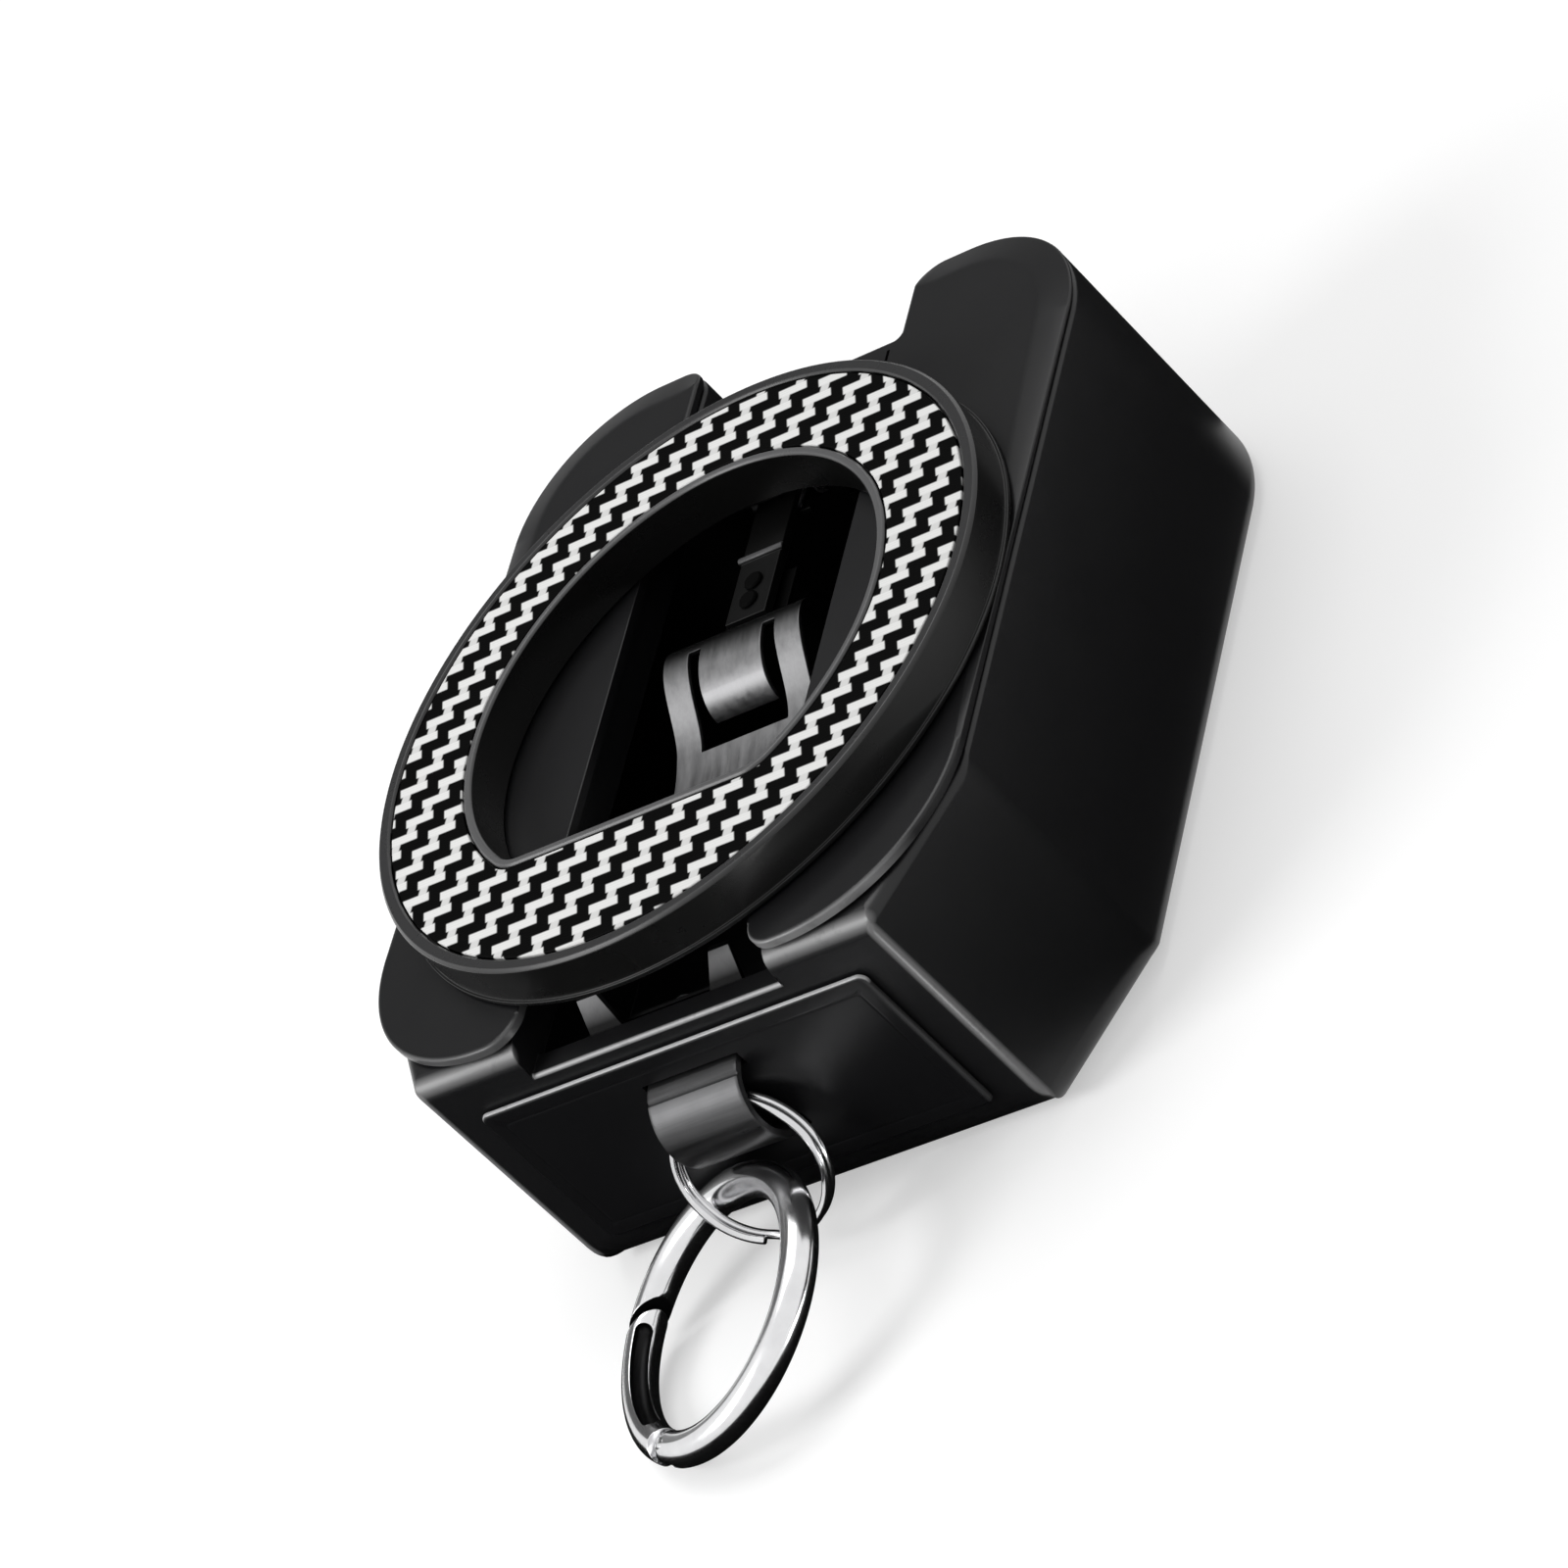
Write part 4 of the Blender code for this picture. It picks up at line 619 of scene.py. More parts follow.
bezel_black, tree, shader = bare("bezel black", 0.0, 0.40)
skin, marks = skinned(tree, 0.3, 8.0, 0.4, 4.0)
# Painted highlight: the tops of the lips are lightened, the inner lip round the window more than the
# outer.
on_lip = height_mask(tree, ring_top - 0.32, ring_top - 0.02)
tone = reckon(tree, "ADD", skin["Patch"], marks)
enamel = between(tree, tone, (0.002, 0.002, 0.002), (0.006, 0.006, 0.006))
inner = along_edge(tree, off_line(tree, "X", 0), off_line(tree, "Y", ring_y), 26.5, 27.5)
lip_highlight = between(tree, inner, (0.035, 0.035, 0.036), (0.12, 0.12, 0.122))
share = reckon(tree, "MULTIPLY", on_lip, between(tree, skin["Patch"], 0.75, 1.0))
colour, gloss = blended(tree, share, enamel, lip_highlight), between(tree, skin["Patch"], 0.34, 0.22)
finished(shader, colour, gloss, skin["Height"], 0.08)
dressed(bezel, bezel_black, "case", "ring_black", "bezel_ring")

# ---------------------------------------------------------------------------
# Bezel inlay. A flat band of black and white woven ribbon, laminated and let into the ring's channel.
# White weft floats step diagonally over the black warp, each tied to the next by a narrow bridge.

inlay_z, inlay_top = (corner.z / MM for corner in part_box("bezel_inlay"))
inlay_gap, inlay_round = 0.2, 0.08
band_out, band_in = channel_out - inlay_gap, inner_lip + inlay_gap
band_side = [(0.0, inlay_z), (0.0, inlay_top - inlay_round), (inlay_round, inlay_top)]
band_outside = [(band_out - inset, z) for inset, z in band_side]
band_inside = [(band_in + inset, z) for inset, z in reversed(band_side)]
woven_band = ring_skin("woven_band", band_outside, band_inside)
eased(woven_band, 0)

thread_sizes = {"Float length": 3.36, "Float height": 1.15, "Bridge": 1.08, "Softness": 0.14}
weave, weave_in, weave_out = effect("stepped weave", thread_sizes, "White", "Tie", "Across")
pitch_x, pitch_row, step_x, lean, shear = 4.889, 2.065, 1.396, 0.1545, 0.29
start_x, start_y = 5.51, 27.46
x = reckon(weave, "MULTIPLY_ADD", place_along(weave, "X"), 1 / MM, start_x)
y = reckon(weave, "MULTIPLY_ADD", place_along(weave, "Y"), 1 / MM, start_y)
row_y = reckon(weave, "MULTIPLY_ADD", x, lean, y)
row = reckon(weave, "ROUND", reckon(weave, "DIVIDE", row_y, pitch_row))
off_row = reckon(weave, "SUBTRACT", row_y, reckon(weave, "MULTIPLY", row, pitch_row))
in_row = reckon(weave, "SUBTRACT", x, reckon(weave, "MULTIPLY", row, step_x))
column = reckon(weave, "ROUND", reckon(weave, "DIVIDE", in_row, pitch_x))
off_x = reckon(weave, "SUBTRACT", in_row, reckon(weave, "MULTIPLY", column, pitch_x))
off_y = reckon(weave, "MULTIPLY_ADD", off_x, -lean, off_row)
slid = reckon(weave, "MULTIPLY_ADD", off_y, shear, off_x)
soft = weave_in.outputs["Softness"]


def inside(distance, size):
    """1 where an unsigned distance is within half of a size, softened at the edge."""
    half = reckon(weave, "MULTIPLY", size, 0.5)
    over = reckon(weave, "SUBTRACT", half, reckon(weave, "ABSOLUTE", distance))
    smooth = {"interpolation_type": "SMOOTHSTEP"}
    return wired(weave, "ShaderNodeMapRange", smooth, n0=over, n1=-0.06, n2=soft).outputs[0]


long_way, short_way = (weave_in.outputs["Float " + size] for size in ("length", "height"))
brick = reckon(weave, "MULTIPLY", inside(slid, long_way), inside(off_y, short_way))
aside = reckon(weave, "MULTIPLY_ADD", reckon(weave, "SIGN", off_y), -step_x / 2, off_x)
tie = inside(aside, weave_in.outputs["Bridge"])
outside = reckon(weave, "SUBTRACT", 1.0, brick)
white = reckon(weave, "MAXIMUM", brick, reckon(weave, "MULTIPLY", tie, 0.95))
weave.links.new(white, weave_out.inputs["White"])
weave.links.new(reckon(weave, "MULTIPLY", tie, outside), weave_out.inputs["Tie"])
weave.links.new(off_y, weave_out.inputs["Across"])

ribbon, tree, shader = bare("woven ribbon", 0.0, 0.02)
cloth = placed(tree, weave)
skin = placed(tree, grain, Grain_size=0.12, Patch_size=5.0)
thread_pitch = 0.30
waves = reckon(tree, "MULTIPLY", cloth.outputs["Across"], 2 * pi / thread_pitch)
threads = reckon(tree, "MULTIPLY_ADD", reckon(tree, "SINE", waves), 0.5, 0.5)
specks = reckon(tree, "MULTIPLY", skin.outputs["Speckle"], 0.35)
shade = reckon(tree, "MULTIPLY_ADD", threads, 0.16, specks)
shade = reckon(tree, "ADD", shade, reckon(tree, "MULTIPLY", cloth.outputs["Tie"], -0.35))
white = between(tree, shade, (0.72, 0.72, 0.71), (0.98, 0.98, 0.97))
warp_black = (0.002, 0.002, 0.002)
colour = blended(tree, cloth.outputs["White"], warp_black, white)
relief = reckon(tree, "MULTIPLY_ADD", threads, 0.12, cloth.outputs["White"])
finished(shader, colour, between(tree, threads, 0.55, 0.42), relief, 0.5, 0.06)
dressed(woven_band, ribbon, "case", "weave", "bezel_inlay")

# ---------------------------------------------------------------------------
# Bezel screws. Four zinc-plated button-head screws, turned with a drive socket, seen inside the pocket.
# They pass through the front wall and the plate and bite into the ring.


def eased_copy(node, width, crease=32):
    """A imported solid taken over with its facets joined, its curves smooth and its edges broken."""
    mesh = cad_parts[node].data.copy()
    bm = bmesh.new()
    bm.from_mesh(mesh)
    bmesh.ops.remove_doubles(bm, verts=bm.verts, dist=0.002 * MM)
    bmesh.ops.dissolve_limit(bm, angle_limit=radians(0.5), verts=bm.verts, edges=bm.edges)
    bmesh.ops.scale(bm, vec=(1 / MM, 1 / MM, 1 / MM), verts=bm.verts)
    bpy.data.meshes.remove(mesh)
    return eased(solid(node + "_finished", bm), width, 2, crease, crease)


def taken_over(nodes, width, material, body, slot):
    """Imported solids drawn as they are, with their edges broken and a finish."""
    for node in nodes:
        dressed(eased_copy(node, width), material, body, slot, node)


def brushed(
    name, dark, light, rough, way, amount=0.3, pitch=0.10, strength=0.25, metallic=1.0, painted_shade=None
):
    """Metal with fine scratches drawn along one way, and painted shade that darkens it past a line
    across it.
    """
    material, tree, shader = bare(name, metallic, 0.5)
    stretch = tuple(0.03 if axis == way else 1.0 for axis in "XYZ")
    drawn = wired(tree, "ShaderNodeMapping", Vector=place_on(tree), Scale=stretch).outputs[0]
    fineness = 1000.0 / pitch / 10
    noise = {"Scale": fineness, "Detail": 6.0, "Roughness": 0.75}
    streaks = wired(tree, "ShaderNodeTexNoise", Vector=drawn, **noise).outputs["Fac"]
    skin, marks = skinned(tree, 0.25, 5.0, amount, 3.0)
    sharp = ramp(tree, streaks, 0.32, 0.68)
    tone = reckon(tree, "MULTIPLY_ADD", sharp, 0.6, reckon(tree, "MULTIPLY", skin["Patch"], 0.5))
    colour = between(tree, tone, dark, light)
    # Painted shade: the colour fades to near black past the given span.
    if painted_shade:
        axis, start, end = painted_shade
        share = ramp(tree, place_along(tree, axis), start * MM, end * MM)
        colour = blended(tree, share, colour, (0.006, 0.006, 0.006))
    gloss = reckon(tree, "MULTIPLY_ADD", marks, 0.2, between(tree, sharp, rough - 0.07, rough + 0.09))
    finished(shader, colour, gloss, reckon(tree, "ADD", sharp, marks), strength, 0.01)
    return material


screw_zinc = brushed("screw zinc", (0.20, 0.20, 0.21), (0.42, 0.42, 0.43), 0.34, "Z")
taken_over([f"bezel_screw_{number}" for number in (1, 2, 3, 4)], 0.06, screw_zinc, "case", "screw")

# ---------------------------------------------------------------------------
# Foot panel. A thin black cover with rounded corners, pegged into the foot over the strap's screws.
# Its rolled top edge carries a painted highlight; a shallow pressed border runs just inside its edges.
# Its face stands a hair lower than its solid's, so that the key ring's bar clears it at the end of its
# swing.

panel_low, panel_high = (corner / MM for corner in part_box("end_panel"))
panel_face, panel_back, panel_half = panel_low.y + 0.1, foot_y - seat_gap, panel_high.x
panel_mid = (panel_low.z + panel_high.z) / 2
panel_roll, border_deep = 0.36, 0.05
peg_x, peg_radius, peg_long = 16, 1.0, 1.6


def panel_loop(inset, y):
    """The panel's outline drawn in, at one depth, its corners kept round."""
    x, low, high = panel_half - inset, panel_low.z + inset, panel_high.z - inset
    radius = max(0.45, 0.9 - inset)
    corners = [(-x, low, radius), (x, low, radius), (x, high, radius), (-x, high, radius)]
    return [Vector((p.x, y, p.y)) for p in rounded(corners, 8.0)]


panel_loops = [panel_loop(0.0, panel_back)]
for k in range(9):
    turn = pi / 2 * k / 8
    inset, dip = panel_roll * (1 - cos(turn)), panel_roll * (1 - sin(turn))
    panel_loops.append(panel_loop(inset, panel_face + dip))
for inset, dip in ((1.5, 0.0), (1.62, border_deep), (1.8, border_deep), (1.92, 0.0)):
    panel_loops.append(panel_loop(inset, panel_face + dip))
foot_panel = lofted("foot_panel", panel_loops)
for side in (-1, 1):
    peg = [(side * peg_x, y, panel_mid) for y in (panel_back - 0.25, foot_y + peg_long)]
    add(foot_panel, rod(*peg, peg_radius))
cut(foot_panel, *leg_slots(panel_face - 2, panel_back + 0.5))
eased(foot_panel, 0.04, 2, 50, 50)
panel_dark, panel_light = (0.003, 0.003, 0.0035), (0.008, 0.008, 0.009)
panel_grain = {"rough": 0.32, "specular": 0.40, "grain_mm": 0.2, "depth": 0.12}
panel_black = moulded("panel black", panel_dark, panel_light, **panel_grain)
tree = panel_black.node_tree
# Painted highlight along the rolled top edge.
on_roll = ramp(tree, off_line(tree, "Y", panel_face), 0.07 * MM, 0.16 * MM)
at_top = ramp(tree, off_line(tree, "Z", panel_high.z), -1.2 * MM, -0.5 * MM)
painted_highlight(tree, reckon(tree, "MULTIPLY", on_roll, at_top), 0.50)
# The edge beside the chamfer is duller than the rest.
dulled = ramp(tree, off_line(tree, "X", panel_half), -0.6 * MM, -0.35 * MM, 0.0, 0.35)
gloss = tree.nodes["Principled BSDF"].inputs["Roughness"]
tree.links.new(reckon(tree, "ADD", gloss.links[0].from_socket, dulled), gloss)
dressed(foot_panel, panel_black, "case", "shell_black", "end_panel")

# ---------------------------------------------------------------------------
# Lug strap. A spring-steel strip bent to a half round, its legs through the foot and its feet screwed
# down inside. Blackened and brushed, with a pressed crease across it just outside the panel.

strap_outer = tunnel_radius + strap_thick
backing_y, backing_thick = floor_y + seat_gap, 0.6
strap_foot_y = backing_y + backing_thick + seat_gap
strap_foot_top, strap_foot, strap_hole = strap_foot_y + strap_thick, 3.8, 0.95


def strap_side(out=0.0, flare=0.0):
    """Side view of the strap, as (y, z): two feet, two legs and a half-round loop."""
    outer, inner = strap_outer + out, tunnel_radius + flare
    crease, crease_wide, crease_deep = radians(153), radians(2.2), 0.16
    points = [
        (strap_foot_top, -strap_outer - strap_foot),
        (strap_foot_y, -strap_outer - strap_foot),
        (strap_foot_y, -strap_outer),
    ]
    for k in range(97):
        turn = pi * k / 96
        dip = crease_deep * max(0.0, 1 - abs(turn - crease) / crease_wide) ** 0.5
        points.append((foot_y - (outer - dip) * sin(turn), -(outer - dip) * cos(turn)))
    points += [
        (strap_foot_y, strap_outer),
        (strap_foot_y, strap_outer + strap_foot),
        (strap_foot_top, strap_outer + strap_foot),
        (strap_foot_top, inner),
    ]
    arc = [(foot_y - inner * sin(pi * k / 48), -inner * cos(pi * k / 48)) for k in range(48, -1, -1)]
    return [Vector(point) for point in points + arc + [(strap_foot_top, -inner)]]


# The strip's edges are rounded, the inner ones more, where the ring's wire bears.
rims = ((0.0, -0.14, 0.24), (0.05, -0.05, 0.18), (0.16, 0.0, 0.11), (0.4, 0.0, 0.0))
across = [(-lug_half + place, out, flare) for place, out, flare in rims]
across += [(-x, out, flare) for x, out, flare in reversed(across)]
strap_loops = []
for x, out, flare in across:
    strap_loops.append([Vector((x, p.x, lug_height + p.y)) for p in strap_side(out, flare)])
key_strap = lofted("key_strap", strap_loops)
for way in (-1, 1):
    z = lug_height + way * (strap_outer + strap_foot / 2)
    cut(key_strap, rod((0, strap_foot_y - 0.3, z), (0, strap_foot_top + 1, z), strap_hole, 24))
eased(key_strap, 0, crease=30)
strap_dark, strap_light = (0.04, 0.04, 0.041), (0.10, 0.10, 0.102)
strap_brushing = {"amount": 0.4, "pitch": 0.12, "strength": 0.2, "metallic": 0.9}
strap_steel = brushed("strap steel", strap_dark, strap_light, 0.34, "X", **strap_brushing)
dressed(key_strap, strap_steel, "case", "dark_steel", "lug_strap")

# ---------------------------------------------------------------------------
# Backing plate and lug screws. A bright steel plate inside the foot spreads the strap's pull;
# its two leaning ears stand up into the slot. Two screws clamp strap, plate and foot together.

ear_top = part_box("backing_plate")[1].z / MM
# Painted shade on the ears, darkening from just under their tips downward.
tips = ("Z", ear_top - 0.1, ear_top - 2.1)
ear_dark, ear_light = (0.06, 0.06, 0.061), (0.11, 0.11, 0.112)
bright_steel = brushed("bright steel", ear_dark, ear_light, 0.36, "Z", painted_shade=tips)
taken_over(["backing_plate"], 0.07, bright_steel, "case", "brushed")
taken_over(["lug_screw_front", "lug_screw_rear"], 0.05, screw_zinc, "case", "screw")

# ---------------------------------------------------------------------------
# Latch base, its screws, the pin and the torsion spring. A blackened bracket under the bridge holds
# the pin between two cheeks; the spring's coil sits on the pin beside the arm.

base_dark, base_light = (0.005, 0.005, 0.005), (0.018, 0.018, 0.019)
base_brushing = {"amount": 0.35, "pitch": 0.15, "strength": 0.2, "metallic": 0.85}
blackened = brushed("blackened steel", base_dark, base_light, 0.36, "Y", **base_brushing)
taken_over(["latch_base"], 0.08, blackened, "case", "dark_steel")
taken_over(["base_screw_left", "base_screw_right", "latch_pin"], 0.05, screw_zinc, "case", "screw")


def sweep(name, path, radius, sides=12):
    """Round wire along a path of points."""
    loops, side = [], None
    for i, point in enumerate(path):
        ahead = (path[min(i + 1, len(path) - 1)] - path[max(i - 1, 0)]).normalized()
        side = ahead.orthogonal() if side is None else side - ahead * side.dot(ahead)
        side.normalize()
        other = ahead.cross(side)
        turns = [2 * pi * k / sides for k in range(sides)]
        loops.append([point + radius * (cos(a) * side + sin(a) * other) for a in turns])
    return lofted(name, loops)


pivot_y, pivot_z = bridge_low_y - 2.0, case_depth - 2.4
arm_half, coil_wire, coil_radius, coil_turns, leg_long = 2.35, 0.17, 1.15, 3, 4.4
coil_x = arm_half + seat_gap + coil_wire * 1.5
coil_wide = coil_wire * 2 * (coil_turns + 1)
coil_steps = coil_turns * 32 + 8
coil = []
for k in range(coil_steps + 1):
    turn = pi / 2 + 2 * pi * k / 32
    x = coil_x + (coil_wide - coil_wire * 2) * k / coil_steps
    coil.append(Vector((x, pivot_y + coil_radius * cos(turn), pivot_z + coil_radius * sin(turn))))
pad_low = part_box("latch_base")[0].z / MM
arm_leg = coil[0] + Vector((0, -leg_long, 0))
base_leg = Vector((coil[-1].x, bridge_low_y - coil_wire * 1.2, pad_low + 0.5))
torsion_spring = eased(sweep("torsion_spring", [arm_leg, *coil, base_leg], coil_wire), 0)
dressed(torsion_spring, screw_zinc, "case", "screw", "latch_spring")

# ---------------------------------------------------------------------------
# Latch arm. A narrow blackened beam with a barrel round the pin, two cross ribs that a fingertip feels,
# with a painted highlight on their crowns, and a small tab that takes the spring's leg.

arm_top = case_depth - 0.85
arm_bottom, arm_end = arm_top - 1.0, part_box("latch_arm")[0].y / MM
barrel_radius = 1.6
arm_beam = block((-arm_half, arm_end, arm_bottom), (arm_half, pivot_y, arm_top))
add(arm_beam, rod((-arm_half, pivot_y, pivot_z), (arm_half, pivot_y, pivot_z), barrel_radius, 64))
rib_half, rib_radius, rib_spans, rivet_spans = arm_half + 0.25, 0.38, (9.4, 1.7), (15.1, 12.8)
for span in rib_spans:
    y = pivot_y - span
    add(arm_beam, rod((-rib_half, y, arm_top), (rib_half, y, arm_top), rib_radius, 32))
tab_y = pivot_y - 4.2
tab_top = pivot_z + coil_radius - coil_wire - seat_gap * 1.6
add(
    arm_beam,
    block((0.2, tab_y + 0.1, tab_top - 0.6), (arm_half - 0.1, tab_y + 1.2, arm_bottom + 0.4)),
    block((0.4, tab_y, tab_top - 0.7), (coil_x + 0.6, tab_y + 1.3, tab_top)),
)
pin_hole = rivet_hole = 0.75
cut(arm_beam, rod((-9, pivot_y, pivot_z), (9, pivot_y, pivot_z), pin_hole, 40))
rivet_places = [pivot_y - span for span in rivet_spans]
for y in rivet_places:
    cut(arm_beam, rod((0, y, arm_bottom - 1), (0, y, arm_top + 1), rivet_hole, 24))
eased(arm_beam, 0.1, 2, 35, 35)
arm_steel, tree, shader = bare("arm steel", 0.0, 0.15)
skin, marks = skinned(tree, 0.25, 4.0, 0.3, 3.0)
# Painted highlight on the crowns of the two ribs.
rib_highlight = height_mask(tree, arm_top + 0.12, arm_top + 0.26)
tone = reckon(tree, "ADD", skin["Patch"], marks)
beam_black = between(tree, tone, (0.002, 0.002, 0.002), (0.006, 0.006, 0.006))
colour = blended(tree, rib_highlight, beam_black, (0.08, 0.08, 0.082))
finished(shader, colour, between(tree, skin["Patch"], 0.42, 0.26), skin["Height"], 0.15)
dressed(arm_beam, arm_steel, "latch", "dark_steel", "latch_arm")

# ---------------------------------------------------------------------------
# Latch clip and rivets. One strip of brushed spring steel, rolled over the arm's end, with two legs,
# a foot bar and a curled tongue freed by its window. Two rivets hold it under the arm.

clip_thick, clip_half, tongue_half, tongue_slot = 0.5, 8.0, 3.65, 1.42
crest_y, crest_z = pivot_y - 20.2, case_depth + 0.1 - clip_thick / 2
clip_drop, clip_run, clip_bar, roll_reach = 5.0, 11.8, 3.6, 2.3
tongue_share, tongue_drop, tongue_tip = 0.66, 0.78, 0.12
tab_z = arm_bottom - seat_gap - clip_thick / 2
roll = crest_z - tab_z
strip = [(rivet_places[1] + 1.4, tab_z), (crest_y + roll_reach + 0.6, tab_z)]
for k in range(1, 15):
    turn = pi / 2 * k / 14
    y = crest_y + roll_reach * cos(turn) ** 0.8 if k < 14 else crest_y
    strip.append((y, tab_z + roll * sin(turn) ** 1.1))
crest_at = len(strip) - 1
bar_top = crest_y - clip_run + clip_bar
# The legs fall from the crest along most of a half wave.
wave_start, wave_end = 0.02, 0.9
leg_drop = clip_drop * (1 - clip_bar / clip_run * 0.35) / (1 - cos(pi * wave_end))
for k in range(1, 17):
    share = k / 16
    fall = leg_drop * (1 - cos(pi * (wave_start + (wave_end - wave_start) * share)))
    strip.append((crest_y - (crest_y - bar_top) * share, crest_z - fall))
bar_at = len(strip) - 1
last_y, last_z = strip[-1]
bar_falls = ((0.25, 0.05), (0.5, 0.09), (0.75, 0.12), (1.0, 0.14))
strip += [(last_y - clip_bar * share, last_z - clip_drop * fall) for share, fall in bar_falls]
tongue_run = []
for k in range(1, 17):
    turn = pi / 2 * k / 16
    y = crest_y - (crest_y - bar_top) * tongue_share * sin(turn)
    fall = clip_drop * tongue_drop * (1 - cos(turn)) + tongue_tip * k / 16
    tongue_run.append((y, crest_z - fall))
leg_inside = tongue_half + tongue_slot
columns = [-clip_half, -leg_inside, -tongue_half, tongue_half, leg_inside, clip_half]
bm = bmesh.new()
grid = [[bm.verts.new((x, y, z)) for x in columns] for y, z in strip]
for row in range(len(strip) - 1):
    for column in range(5):
        if (row < 2 and column != 2) or (crest_at <= row < bar_at and column in (1, 2, 3)):
            continue
        low, high = grid[row], grid[row + 1]
        bm.faces.new((low[column], low[column + 1], high[column + 1], high[column]))
tongue = [grid[crest_at][2:4]]
tongue += [[bm.verts.new((side * tongue_half, y, z)) for side in (-1, 1)] for y, z in tongue_run]
for low, high in zip(tongue, tongue[1:]):
    bm.faces.new((low[0], low[1], high[1], high[0]))
bmesh.ops.delete(bm, geom=[v for v in bm.verts if not v.link_faces], context="VERTS")
steel_clip = solid("steel_clip", bm)
sheet = steel_clip.modifiers.new("sheet", "SOLIDIFY")
sheet.thickness, sheet.offset, sheet.use_even_offset = clip_thick * MM, 0.0, True
baked(steel_clip)
for y in rivet_places:
    cut(steel_clip, rod((0, y, tab_z - 2), (0, y, tab_z + 2), rivet_hole, 24))
eased(steel_clip, 0.09, 3, 50, 40)
# Painted shade on the strip where it rolls over the arm's end and runs under the arm.
shade_under_arm = ("Y", crest_y - 2.2, crest_y + 0.6)
clip_dark, clip_light = (0.12, 0.12, 0.122), (0.21, 0.21, 0.213)
clip_brushing = {"amount": 0.13, "pitch": 0.09, "painted_shade": shade_under_arm}
clip_steel = brushed("clip steel", clip_dark, clip_light, 0.38, "Y", **clip_brushing)
dressed(steel_clip, clip_steel, "latch", "brushed", "latch_clip")
rivet_dark, rivet_light = (0.001, 0.001, 0.001), (0.002, 0.002, 0.002)
rivet_grain = {"rough": 0.7, "specular": 0.03, "grain_mm": 0.2, "depth": 0.1}
rivet_black = moulded("rivet black", rivet_dark, rivet_light, **rivet_grain)
taken_over(["latch_rivet_front", "latch_rivet_rear"], 0.05, rivet_black, "latch", "dark_steel")

# ---------------------------------------------------------------------------
# Split ring. Two turns of polished, nickel-plated spring wire with a short cross-over, its ends
# laid flat against the turn. It hangs through the strap.

split_radius, split_wire, split_pitch = 7.05, 0.425, 0.9
drop, yaw, roll_angle = radians(69.9), radians(-3.2), radians(-2.1)
hang = Vector((sin(yaw), -cos(drop) * cos(yaw), -sin(drop) * cos(yaw)))
split_normal = Vector((sin(roll_angle), sin(drop), -cos(drop)))
split_normal = (split_normal - hang * split_normal.dot(hang)).normalized()
split_side = split_normal.cross(hang)
half_stack = split_pitch / 2
bundle = half_stack + split_wire
held_y = panel_low.y - 0.2 - (abs(split_normal.y) * half_stack + split_wire)
held_z = lug_height + sqrt((tunnel_radius - 0.3 - bundle) ** 2 - (held_y - foot_y) ** 2)
held = Vector((0.44, held_y, held_z))
split_centre = held + hang * split_radius


def frame_of(x_axis, y_axis, z_axis, place):
    """Matrix of a frame given by its axes, at a place, for shapes drawn in millimetres."""
    matrix = Matrix((x_axis, y_axis, z_axis)).transposed().to_4x4()
    matrix.translation = place
    return matrix


def bent_bar(name, radius, thick, turns, sides, matrix, rise=None, domes=(0, 0), slants=(0, 0)):
    """Round bar bent on a circle, with rounded or slanted ends, set down by a matrix."""
    stations = [(turn, 0.0, 1.0) for turn in turns]
    dome_turns = [pi / 2 * k / 8 * 0.96 for k in range(1, 9)]
    for end, dome in enumerate(domes):
        if dome:
            extra = [(turns[-end], (2 * end - 1) * sin(a), cos(a)) for a in dome_turns]
            stations = stations + extra if end else extra[::-1] + stations
    loops = []
    for turn, push, share in stations:
        outward, forward = Vector((cos(turn), sin(turn), 0)), Vector((-sin(turn), cos(turn), 0))
        centre = outward * radius + forward * push * thick
        centre.z += rise(turn) if rise else 0.0
        ends = (abs(turn - turns[0]), abs(turn - turns[-1]))
        near = [max(0.0, 1 - radius * away / (1.6 * thick)) for away in ends]
        tilt = slants[0] * near[0] + slants[1] * near[1]
        loop = []
        for k in range(sides):
            a = 2 * pi * k / sides
            point = centre + thick * share * (cos(a) * outward + sin(a) * Vector((0, 0, 1)))
            loop.append(matrix @ (point + forward * tilt * thick * cos(a)))
        loops.append(loop)
    return lofted(name, loops)


def split_rise(turn):
    """Height of the wire: one flat turn, a short eased cross-over, and a second flat turn."""
    share = min(1.0, max(0.0, (turn - radians(345)) / radians(30)))
    return half_stack * (2 * share - 1)


wire_start, wire_end, wire_step = 19, 701, 2.5
wire_steps = int((wire_end - wire_start) / wire_step)
turns = [radians(wire_start + wire_step * k) for k in range(wire_steps + 1)]
split_frame = frame_of(hang, split_side, split_normal, split_centre)
wire_ring = bent_bar("wire_ring", split_radius, split_wire, turns, 20, split_frame, split_rise)
eased(wire_ring, 0.06, 2, 50, 50)


def plated(name, dark, light, rough):
    """Polished nickel or chrome plate with faint hairlines and slow waves from the polishing wheel."""
    material, tree, shader = bare(name, 1.0, 0.5)
    skin, marks = skinned(tree, 0.5, 3.0, 0.2, 2.5)
    gloss = reckon(tree, "MULTIPLY_ADD", marks, 0.25, between(tree, skin["Patch"], rough, rough + 0.05))
    finished(shader, between(tree, skin["Patch"], dark, light), gloss, skin["Patch"], 0.05, 0.2)
    return material


nickel = plated("ring nickel", (0.60, 0.60, 0.61), (0.78, 0.78, 0.79), 0.15)
dressed(wire_ring, nickel, "split_ring", "chrome", "split_ring")

# ---------------------------------------------------------------------------
# Spring-gate ring and its gate. A round bar bent to an O and polished, with an arc that opens inward
# on a pin. Ring and gate meet on a slanted nose; a plunger and coil in the bar close the gate.

